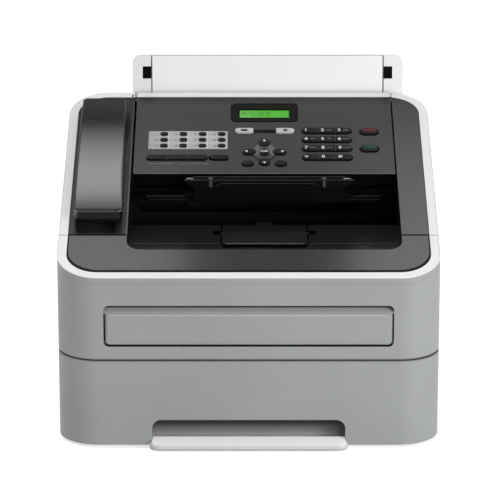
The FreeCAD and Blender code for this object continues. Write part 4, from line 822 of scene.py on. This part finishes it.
def mode_keys():
    """The silver pair under the display."""
    rings = soft_rings(KEY_FOOT, KEY_RISE, 0.4, dome=0.1)
    ends = ((-4.6, (4.1, 0.6)), (37.3, (0.6, 4.1)))
    pair = [cap(around(x, 267.5, 18.6, 8.4), radii, rings) for x, radii in ends]
    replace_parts(panel_piece("mode_caps", pair, KEY_SILVER), "mode_keys")


def mode_bar():
    """Glossy bar between the silver keys."""
    bar = cap(around(16.4, 267.1, 24.6, 4.4), (1.4, 1.4), soft_rings(FIXED_FOOT, 0.7, 0.3))
    panel_piece("mode_bar", [bar], GLASS_BLACK)


def mode_signs():
    """Printed signs on the silver keys."""
    diamond = ((37.3, 264.3), (40.2, 267.1), (37.3, 269.9), (34.4, 267.1))
    sheet = ((-7.4, 265.2), (-1.8, 265.2), (-0.9, 267.1), (-1.8, 269.0), (-7.4, 269.0), (-8.3, 267.1))
    panel_piece("mode_signs", [ink(diamond), ink(sheet)], DARK_INK)


def key_joints():
    """Thin webs between the keys that stand in one row, light grey as a painted highlight of the keys' edges.
    """
    webs = []
    for row in range(len(DIGIT_ROWS)):
        for column in (-0.5, 0.5):
            webs.append(flat_block(around(*digit_place(row, column), WEB_WIDTH, 9.0), -0.5, KEY_RISE))
    for x in (-82.3, -61.7):
        webs.append(flat_block(around(x, FUNCTION_PLACE, WEB_WIDTH, 8.0), FIXED_FOOT, KEY_RISE))
    panel_piece("key_webs", webs, KEY_EDGE_HIGHLIGHT)


def name_card():
    """The pale card under the one-touch keys, with its rows and columns marked off."""
    card = cap((-101.6, -21.4, 232.4, 266.9), (1.0, 1.0), soft_rings(0.01, CARD_TOP, 0.15, 2))
    panel_piece("touch_card", [card], CARD_GREY)
    areas = [around(-61.5, along, 79.0, 0.5) for along in (243.7, 255.0)]
    areas += [around(x, 249.6, 0.5, 33.0) for x in (-81.2, -61.7, -42.2)]
    rules = [flat_block(area, CARD_TOP - 0.02, CARD_INK_LEVEL, 0.2) for area in areas]
    panel_piece("card_rules", rules, WHITE_INK)


def card_numbers():
    """Numbers beside the one-touch keys, counted from the back row."""
    numbers = []
    for row in range(TOUCH_ROWS):
        for column in range(TOUCH_COLUMNS):
            text = str(TOUCH_COLUMNS * (TOUCH_ROWS - 1 - row) + column + 1)
            x = TOUCH_LEFT - 7.7 + TOUCH_ACROSS * column
            along = TOUCH_FRONT + TOUCH_ALONG * row
            numbers.append(lettering(text, x, along, CARD_INK_LEVEL, NUMBER_HEIGHT))
    panel_piece("card_numbers", numbers, CARD_INK)


def group_lines():
    """Two printed lines before the function keys."""
    lines = [flat_block(around(x, 204.6, 28.0, 0.8), 0.01, 0.06, 0.3) for x in (-88.0, -54.5)]
    panel_piece("group_line", lines, GREY_INK)


def arrow_dish():
    """Shallow dish between the arrow keys: a rim that falls to its middle."""
    rim = ((8.6, 240.6), (22.8, 240.6), (26.6, 232.6), (26.6, 219.4), (21.4, 211.6), (10.2, 211.6),
           (5.0, 219.4), (5.0, 232.6))
    middle = Vector((15.8, 226.0))
    centre = [middle + (Vector(point) - middle) * 0.2 for point in rim]
    levels = ((rim, 0.01), (rim, 0.9), (centre, 0.12))
    dish = skin([[(x, along, level) for x, along in ring] for ring, level in levels])
    panel_piece("arrow_plate", [dish], DISH_GREY, 1)


SCREEN_WORDS = "05/12 12:30"
DOTS = {
    "0": "01110 10001 10011 10101 11001 10001 01110", "1": "00100 01100 00100 00100 00100 00100 01110",
    "2": "01110 10001 00001 00010 00100 01000 11111", "3": "11111 00010 00100 00010 00001 10001 01110",
    "5": "11111 10000 11110 00001 00001 10001 01110", ":": "00000 01100 01100 00000 01100 01100 00000",
    "/": "00000 00001 00010 00100 01000 10000 00000"}


def screen_dot(place, row, column):
    """One lit dot of a sign on the display."""
    left, back = -7.4, 305.6
    width, length = 0.42, 0.95
    sign_step, column_step, row_step = 2.7, 0.44, 1.0
    x = left + place * sign_step + column * column_step
    along = back - row * row_step
    outline = ((x, along), (x + width, along), (x + width, along + length), (x, along + length))
    return prism(outline, SCREEN_LEVEL, SCREEN_LEVEL + 0.03)


def screen_text():
    """Date and time in small dots."""
    dots = []
    for place, sign in enumerate(SCREEN_WORDS):
        for row, line in enumerate(DOTS.get(sign, "").split()):
            dots += [screen_dot(place, row, column) for column, lit in enumerate(line) if lit == "1"]
    panel_piece("screen_dots", dots, SCREEN_INK)


# Edges and seams of the top, with painted highlights and painted shade
def deck_height(y):
    return DECK_FRONT_Z + (y - FRONT) * tan(DECK_SLOPE)


def rounded_front(side, front, radius, steps=14):
    """Plan points of the front door's outline: from the left, round the front, to the right."""
    turns = [pi / 2 * i / steps for i in range(steps + 1)]
    left = [(radius - side - radius * cos(turn), front + radius - radius * sin(turn)) for turn in turns]
    left.insert(0, (-side, DOOR_BACK))
    return left + [(-x, y) for x, y in reversed(left)]


def ribbon(outer, inner, low, high):
    """A closed band between two outlines of the front door, from its lower to its upper level."""
    rings = []
    for (x, y), (u, v) in zip(rounded_front(*outer), rounded_front(*inner)):
        rings.append([(x, y, low(y)), (x, y, high(y)), (u, v, high(v)), (u, v, low(v))])
    return skin(rings)


def deck_edge():
    """Dark band painted on the deck along the inside of the white rim: painted shade of the deck's rounded
    edge.
    """
    outlines = (174.5, -160.5, 30.5), (173.6, -157.4, 31.0)
    band = ribbon(*outlines, lambda y: deck_height(y) + 0.02, lambda y: deck_height(y) + 0.1)
    add_piece("deck_edge", band, BLACK, "front_door")


def rim_joint():
    """Closed joint under the white rim."""
    low, high = 6.7 / cos(DECK_SLOPE), 5.7 / cos(DECK_SLOPE)
    outlines = (183.97, -169.97, 39.97), (183.0, -169.0, 39.0)
    joint = ribbon(*outlines, lambda y: deck_height(y) - low, lambda y: deck_height(y) - high)
    add_piece("rim_joint", joint, CABINET, "front_door")


def tray_seam_lip():
    """A lip that narrows the seam over the cassette."""
    lip = ribbon((183.8, -169.8, 39.8), (182.0, -168.0, 38.0), lambda y: 87.9, lambda y: 88.7)
    add_piece("tray_seam_lip", lip, CABINET, "paper_tray")


def support_windows():
    """Dark bottoms of the two windows beside the document support, black as painted shade in the windows."""
    profile = ((171.25, 283.9), (172.97, 296.2), (175.2, 295.8), (173.5, 283.5))
    bottoms = [crossways(profile, left, right) for left, right in ((-110.3, -101.7), (140.7, 149.3))]
    add_piece("window_bottoms", together(bottoms), BLACK, "cabinet")


def deck_seams():
    """Dark lip in the seam behind the front door, as painted shade in the gap, and the closed joint beside
    the cradle.
    """
    ends = ((-174.0, -118.2), (148.4, 174.0))
    seams = [flat_block((left, right, 73.4, 75.3), -2.0, 0.04) for left, right in ends]
    add_piece("seam_lip", on_deck(together(seams)), SEAM_SHADE, "cabinet")
    joint = flat_block((-120.9, -119.4, 75.4, 340.0), -1.0, 0.03)
    add_piece("cradle_joint", on_deck(joint), CRADLE_GREY, "cabinet")


def stop_flap_seams():
    """Dark marks painted on the deck as the shade of seams that carry on from the stop flap's sides, and of
    its hinge slots.
    """
    seams = [(left, left + 1.5, -56.6, -33.6) for left in (-27.5, 57.0)]
    slots = [(left, left + 7.1, -66.7, -53.5) for left in (-34.8, 58.7)]
    blocks = [flat_block(area, 184.5, 184.56) for area in seams + slots]
    add_piece("stop_flap_seams", together(blocks), SEAM_SHADE, "cabinet")


def handset_side_shade():
    """Dark leaf-shaped inlay beside the handset: painted shade along its side."""
    middle, start, length, bow, steps = -123.2, 243.0, 64.0, 2.1, 16
    sides = [(bow * sin(pi * i / steps), start + length * i / steps) for i in range(steps + 1)]
    outline = [(middle + out, along) for out, along in sides]
    outline += [(middle - out, along) for out, along in sides[-2:0:-1]]
    add_piece("handset_side_shade", on_deck(prism(outline, 0.01, 0.05)), BLACK, "cabinet")


def panel_edge():
    """Painted highlight along the front edge of the control panel."""
    front = DECK @ Vector((0, 186.3, -0.2))
    line = straight_bead(-115.2, 146.2, front.y, front.z, 0.5)
    add_piece("panel_bead", line, EDGE_HIGHLIGHT, "control_panel")


def catch_edges():
    """Glossy edges of the document catch's bar, lighter than the bar: a painted highlight."""
    y = -10.2
    upper = bead([(-63.4, y, 223.6), (-61.6, y, 224.2), (102.6, y, 224.2), (104.4, y, 223.6)], 0.45)
    lower = bead([(-33.0, y, 218.0), (-26.0, y, 220.7), (64.0, y, 220.7), (71.0, y, 218.0)], 0.4)
    add_piece("catch_beads", together([upper, lower]), EDGE_GLOSS_HIGHLIGHT, "paper_catch")


def catch_knobs():
    """Two upright knobs on the catch's bar, in the lighter glossy grey of the painted highlights."""
    y, half_width, half_depth, foot, top = -10.3, 2.6, 2.0, 217.2, 226.4
    turns = [2 * pi * i / 20 for i in range(20)]
    knobs = []
    for x in (-38.0, 74.8):
        oval = [(x + half_width * cos(turn), y + half_depth * sin(turn)) for turn in turns]
        knobs.append(prism(oval, foot, top))
    add_piece("catch_knobs", together(knobs), EDGE_GLOSS_HIGHLIGHT, "paper_catch")


def catch_tips():
    """Painted glints at the ends of the catch's bar."""
    tips = [bead([(x - 3.4, -8.9, 225.2), (x, -8.7, 225.5), (x + 3.4, -8.9, 225.2)], 0.55)
            for x in (-58.4, 97.6)]
    add_piece("catch_tips", together(tips), EDGE_GLINT, "paper_catch")


def stop_flap_edge():
    """Painted highlight along the front edge of the output stop flap."""
    line = straight_bead(-22.0, 53.0, -97.7, 184.6, 0.45)
    add_piece("stop_flap_bead", line, EDGE_HIGHLIGHT, "output_stop")


def sill_edges():
    """Glossy edges of the sill under the catch, lighter than the sill: a painted highlight."""
    y, z, low = -4.0, 206.0, 202.5
    upper = bead([(-102.6, -2.7, z), (-100.3, -3.8, z), (-99.0, y, z), (129.0, y, z), (130.3, -3.8, z),
                  (132.6, -2.7, z)], 0.4)
    left = bead([(-102.0, -3.0, 204.6), (-100.0, -3.9, 203.0), (-98.0, y, low), (-62.5, y, low)], 0.3)
    right = bead([(100.0, y, low), (128.0, y, low), (130.0, -3.9, 203.0), (132.0, -3.0, 204.6)], 0.3)
    add_piece("sill_bead", together([upper, left, right]), EDGE_GLOSS_HIGHLIGHT, "cabinet")


def tray_edge():
    """Glossy front edge of the output tray, on both sides of the stop flap."""
    ends = ((-115.0, -28.6), (59.4, 145.0))
    edges = [straight_bead(left, right, -96.8, 184.5, 0.4) for left, right in ends]
    add_piece("tray_edge", together(edges), EDGE_GLOSS_HIGHLIGHT, "cabinet")


# Bypass flap and cassette
def flap_face():
    """Raised face of the bypass flap: proud at the top, flush near the hinge, with a painted highlight along
    its top edge.
    """
    front, low, high, proud = -170.5, 108.5, 136.0, 0.86

    def fall(height):
        return -proud * (high - height) / (high - low)

    rings = ((0.0, -1.2), (0.0, 0.0), (0.9, 0.9))
    vertices, faces = cap((-135.9, 135.9, low, high), (4.4, 4.4), rings, crown=fall)
    face = ([(x, front - rise, z) for x, z, rise in vertices], faces)
    add_piece("flap_face", face, CABINET, "bypass_flap", 20)
    ends = ((-133.8, -171.0, 134.4), (-131.5, -171.1, 135.3), (131.5, -171.1, 135.3), (133.8, -171.0, 134.4))
    add_piece("flap_highlight", bead(ends, 0.45), FLAP_HIGHLIGHT, "bypass_flap")


def flap_side_fillers():
    """Slopes of the door that carry on the flap's slope to the ends of its opening."""
    profile = ((-169.9, 136.6), (-169.9, 137.2), (-161.9, 141.2), (-161.9, 136.6))
    slopes = [crossways(profile, left, left + 1.5) for left in (-138.45, 136.95)]
    add_piece("flap_side_fillers", together(slopes), FLAP_GREY, "front_door")


def tray_lip():
    """Raised top of the cassette's lip: it rises to the back and follows the lip's round corners."""
    front, top, back = -178.2, -166.0, -164.6
    foot, corner, straight, inner_half = 6.4, 8.33, 85.4, 92.7
    rise = tan(radians(20))
    rings = []
    for y in (front, -177.8, -177.0, -175.8, -174.2, -172.2, FRONT, top, back):
        half = straight + sqrt(corner ** 2 - (y - FRONT) ** 2) if y < FRONT else inner_half
        high = foot + 0.2 + (y - front) * rise if y <= top else foot + 0.1
        rings.append([(-half, y, foot), (half, y, foot), (half, y, high), (-half, y, high)])
    add_piece("tray_lip", skin(rings), TRAY_WHITE, "paper_tray")


# Handset
def handset_shell():
    """Polished upper shell, crowned along its length, a little narrower at the ear."""
    front, back, bend = 95.0, 310.0, 1300.0
    foot, wall_top, top, edge = 4.8, 17.0, 18.5, 1.4

    def crown(along):
        return sqrt(bend ** 2 - (along - (front + back) / 2) ** 2) - bend

    rings = [(0.0, foot), (0.0, wall_top)] + soft_rings(foot, top, edge, 5, 0.02)[2:]
    shape = cap(
        (-170.0, -123.1, front, back), (5.0, 5.0), rings, arc_steps=8, runs=28, taper=2.8, crown=crown)
    piece = add_piece("handset_shell", on_deck(shape), HANDSET_BLACK, "handset")
    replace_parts(piece, "handset_upper")


def corner_glint(middle, start, end, radii, levels, along=100.0, steps=6):
    """A thin curved strip at a rounded front corner of the handset, for a painted glint."""
    outline = []
    for radius, order in ((radii[0], range(steps + 1)), (radii[1], range(steps, -1, -1))):
        for i in order:
            turn = radians(start + (end - start) * i / steps)
            outline.append((middle + radius * cos(turn), along + radius * sin(turn)))
    return prism(outline, *levels)


def handset_glints():
    """Painted glints at the front corners of the handset."""
    glints = [
        corner_glint(-165.0, 205, 250, (4.3, 4.95), (13.0, 13.7)),
        corner_glint(-165.0, 183, 205, (4.7, 5.06), (6.4, 12.0)),
        corner_glint(-128.1, 290, 335, (4.3, 4.95), (13.0, 13.7))]
    add_piece("handset_glints", on_deck(together(glints)), EDGE_GLINT, "handset")


# Back
def rear_door_lips():
    """Dark lips on the frame that close the gaps beside the rear door, black as painted shade in the gaps."""
    strips = [flat_block((left, left + 3.2, 158.6, 159.6), 52.0, 186.0, 0.3) for left in (-130.2, 127.0)]
    add_piece("rear_door_lips", together(strips), BLACK, "cabinet")


def ring_edges(form, ring):
    return [form.edges.get((here, there)) for here, there in zip(ring, ring[1:] + ring[:1])]


def wall(form, low, high):
    """Faces between two rings of equal count."""
    for i in range(len(low)):
        after = (i + 1) % len(low)
        form.faces.new((low[i], low[after], high[after], high[i]))


def screw_head():
    """Pan head with a sunken cross."""
    cross_top, cross_floor, cross_taper = 1.45, 0.4, 0.8
    turns = [2 * pi * i / 20 for i in range(20)]
    cross = []
    for quarter in range(4):
        turn = -pi / 2 * quarter
        for x, y in ((-0.3, 1.5), (0.3, 1.5), (0.3, 0.3)):
            cross.append((x * cos(turn) - y * sin(turn), x * sin(turn) + y * cos(turn)))
    form = bmesh.new()
    rings = []
    for radius, height in ((3.0, -0.2), (3.0, 0.5), (2.6, 1.1), (2.0, 1.4)):
        circle = [(radius * cos(turn), radius * sin(turn), height) for turn in turns]
        rings.append([form.verts.new(point) for point in circle])
    top = [form.verts.new((x, y, cross_top)) for x, y in cross]
    floor = [form.verts.new((x * cross_taper, y * cross_taper, cross_floor)) for x, y in cross]
    for low, high in [*zip(rings, rings[1:]), (top, floor)]:
        wall(form, low, high)
    form.faces.new(floor)
    form.faces.new(rings[0][::-1])
    edges = ring_edges(form, rings[-1]) + ring_edges(form, top)
    bmesh.ops.triangle_fill(form, edges=edges, use_beauty=True)
    form.verts.index_update()
    vertices = [tuple(vertex.co) for vertex in form.verts]
    faces = [[vertex.index for vertex in face.verts] for face in form.faces]
    form.free()
    return vertices, faces


def back_screws():
    """Screws that hold the covers at the back."""
    heads = repeated(
        "back_screws", screw_head(), STEEL, (2, 304.0), (3, -60.0), (-152.0, 160.0, 30.0), -pi / 2)
    add_mesh("back_screw_heads", heads, STEEL, "cabinet")


for build in (
        digit_keys, arrow_keys, stop_and_start_keys, left_block_keys, clear_and_menu_keys, mode_keys,
        key_joints, name_card, mode_bar, mode_signs, group_lines, card_numbers, arrow_dish, screen_text,
        deck_edge, rim_joint, tray_seam_lip, support_windows, deck_seams, stop_flap_seams, handset_side_shade,
        panel_edge, catch_edges, catch_knobs, catch_tips, stop_flap_edge, sill_edges, tray_edge, flap_face,
        flap_side_fillers, tray_lip, handset_shell, handset_glints, rear_door_lips, back_screws):
    build()


# Studio, in metres
FLOOR_REACH = 30.0
FLOOR_GLOW = 0.66
WORLD_LIGHT = 0.32
LAMPS = (
    ("right_lamp", (1.1, -1.05, 0.4), (0, -0.1, 0.15), (0.6, 0.5), 11),
    ("top_lamp", (-0.6, -0.85, 1.85), (0, -0.05, 0.2), (1.6, 0.7), 11.5),
    ("left_lamp", (-1.0, 0.1, 0.9), (-0.18, 0, 0.22), (0.5, 0.5), 1.8),
    ("front_fill", (0.8, -2.1, 0.9), (0, 0, 0.2), (0.9, 0.6), 7))
SOFTBOX_FADE = ((0.09, 0.0), (0.23, 0.35), (0.43, 0.72), (0.61, 1.0), (0.8, 1.0), (0.92, 0.3))
CAMERA_PLACE = (0, -3.0192, 1.0603)
CAMERA_PITCH = radians(16.8)


def add_lamp(name, place, target, size, power):
    """A soft lamp at a place, turned to a target."""
    lamp = bpy.data.lights.new(name, "AREA")
    lamp.shape = "RECTANGLE"
    lamp.size, lamp.size_y = size
    lamp.energy = power
    holder = new_object(name, lamp)
    holder.location = place
    holder.rotation_euler = (Vector(target) - Vector(place)).to_track_quat("-Z", "Y").to_euler()
    holder.visible_camera = False


def add_sheet(name, middle, side, up, material):
    """A flat part of the studio, from its middle to half its width and height."""
    corners = (middle - side - up, middle + side - up, middle + side + up, middle - side + up)
    mesh = bpy.data.meshes.new(name)
    mesh.from_pydata([tuple(corner) for corner in corners], [], [(0, 1, 2, 3)])
    mesh.materials.append(material)
    sheet = new_object(name, mesh)
    return sheet


def tilted_up(tilt):
    """The upward direction in a sheet that leans to the front."""
    return Vector((0, -sin(tilt), cos(tilt)))


def tilted_sheet(name, middle, tilt, width, height, material):
    """A sheet that leans to the front, out of the camera's sight."""
    sheet = add_sheet(name, Vector(middle), RIGHT * width / 2, tilted_up(tilt) * height / 2, material)
    sheet.visible_camera = False


def floor_white():
    """White floor that keeps its shadows and stays white to the eye and in reflections."""
    finish = Finish("floor_white", 0.0)
    finish.fix("Base Color", (0.8, 0.8, 0.8, 1))
    finish.fix("Roughness", 1.0)
    finish.fix("Emission Color", (1, 1, 1, 1))
    path = finish.add("LightPath")
    seen = path.outputs["Is Camera Ray"]
    for name in ("Is Glossy Ray", "Is Transmission Ray"):
        either = finish.add("Math")
        either.operation = "MAXIMUM"
        finish.join(seen, either.inputs[0])
        finish.join(path.outputs[name], either.inputs[1])
        seen = either.outputs[0]
    finish.drive("Emission Strength", finish.ramp(seen, 0.0, 1.0, 0.0, FLOOR_GLOW))
    return finish.material


def add_floor():
    add_sheet("floor", Vector((0, 0, 0)), RIGHT * FLOOR_REACH, BACK * FLOOR_REACH, floor_white())


def add_softbox():
    """Soft light behind and above, which fades out at its lower and upper edge."""
    tilt = radians(52)
    middle = Vector((0, 1.077, 1.599))
    finish = Finish("softbox", 0.0)
    finish.fix("Base Color", (0, 0, 0, 1))
    finish.fix("Emission Strength", 4.0)
    start = middle.dot(tilted_up(tilt))
    height = finish.ramp(finish.along(tilted_up(tilt)), start - 0.34, start + 0.3)
    fade = finish.add("ValToRGB")
    for place, level in SOFTBOX_FADE:
        element = fade.color_ramp.elements.new(place)
        element.color = (level, level, level, 1)
    fade.color_ramp.elements[-1].color = (0, 0, 0, 1)
    finish.join(height, fade.inputs["Fac"])
    finish.drive("Emission Color", fade.outputs["Color"])
    tilted_sheet("softbox", middle, tilt, 1.2, 0.7, finish.material)


def add_dark_flag():
    """Dark flag before the softbox, mirrored in the middle of the front deck."""
    finish = Finish("dark_flag", 0.0)
    finish.fix("Base Color", (0.004, 0.004, 0.004, 1))
    tilted_sheet("dark_flag", (0.0275, 0.83, 1.355), radians(50), 0.24, 0.16, finish.material)


def add_world():
    """Even white light from all sides."""
    world = bpy.data.worlds.new("studio")
    world.use_nodes = True
    sky = world.node_tree.nodes["Background"]
    sky.inputs["Color"].default_value = (1, 1, 1, 1)
    sky.inputs["Strength"].default_value = WORLD_LIGHT
    bpy.context.scene.world = world


def add_camera():
    """A long lens at the photograph's place."""
    lens = bpy.data.cameras.new("camera")
    lens.sensor_width = 36
    lens.lens = 226.5
    lens.shift_x = 0.0026
    camera = new_object("camera", lens)
    camera.location = CAMERA_PLACE
    camera.rotation_euler = (pi / 2 - CAMERA_PITCH, 0, 0)
    bpy.context.scene.camera = camera


add_floor()
add_softbox()
add_dark_flag()
for lamp in LAMPS:
    add_lamp(*lamp)
add_world()
add_camera()
bpy.context.scene.view_settings.view_transform = "Standard"
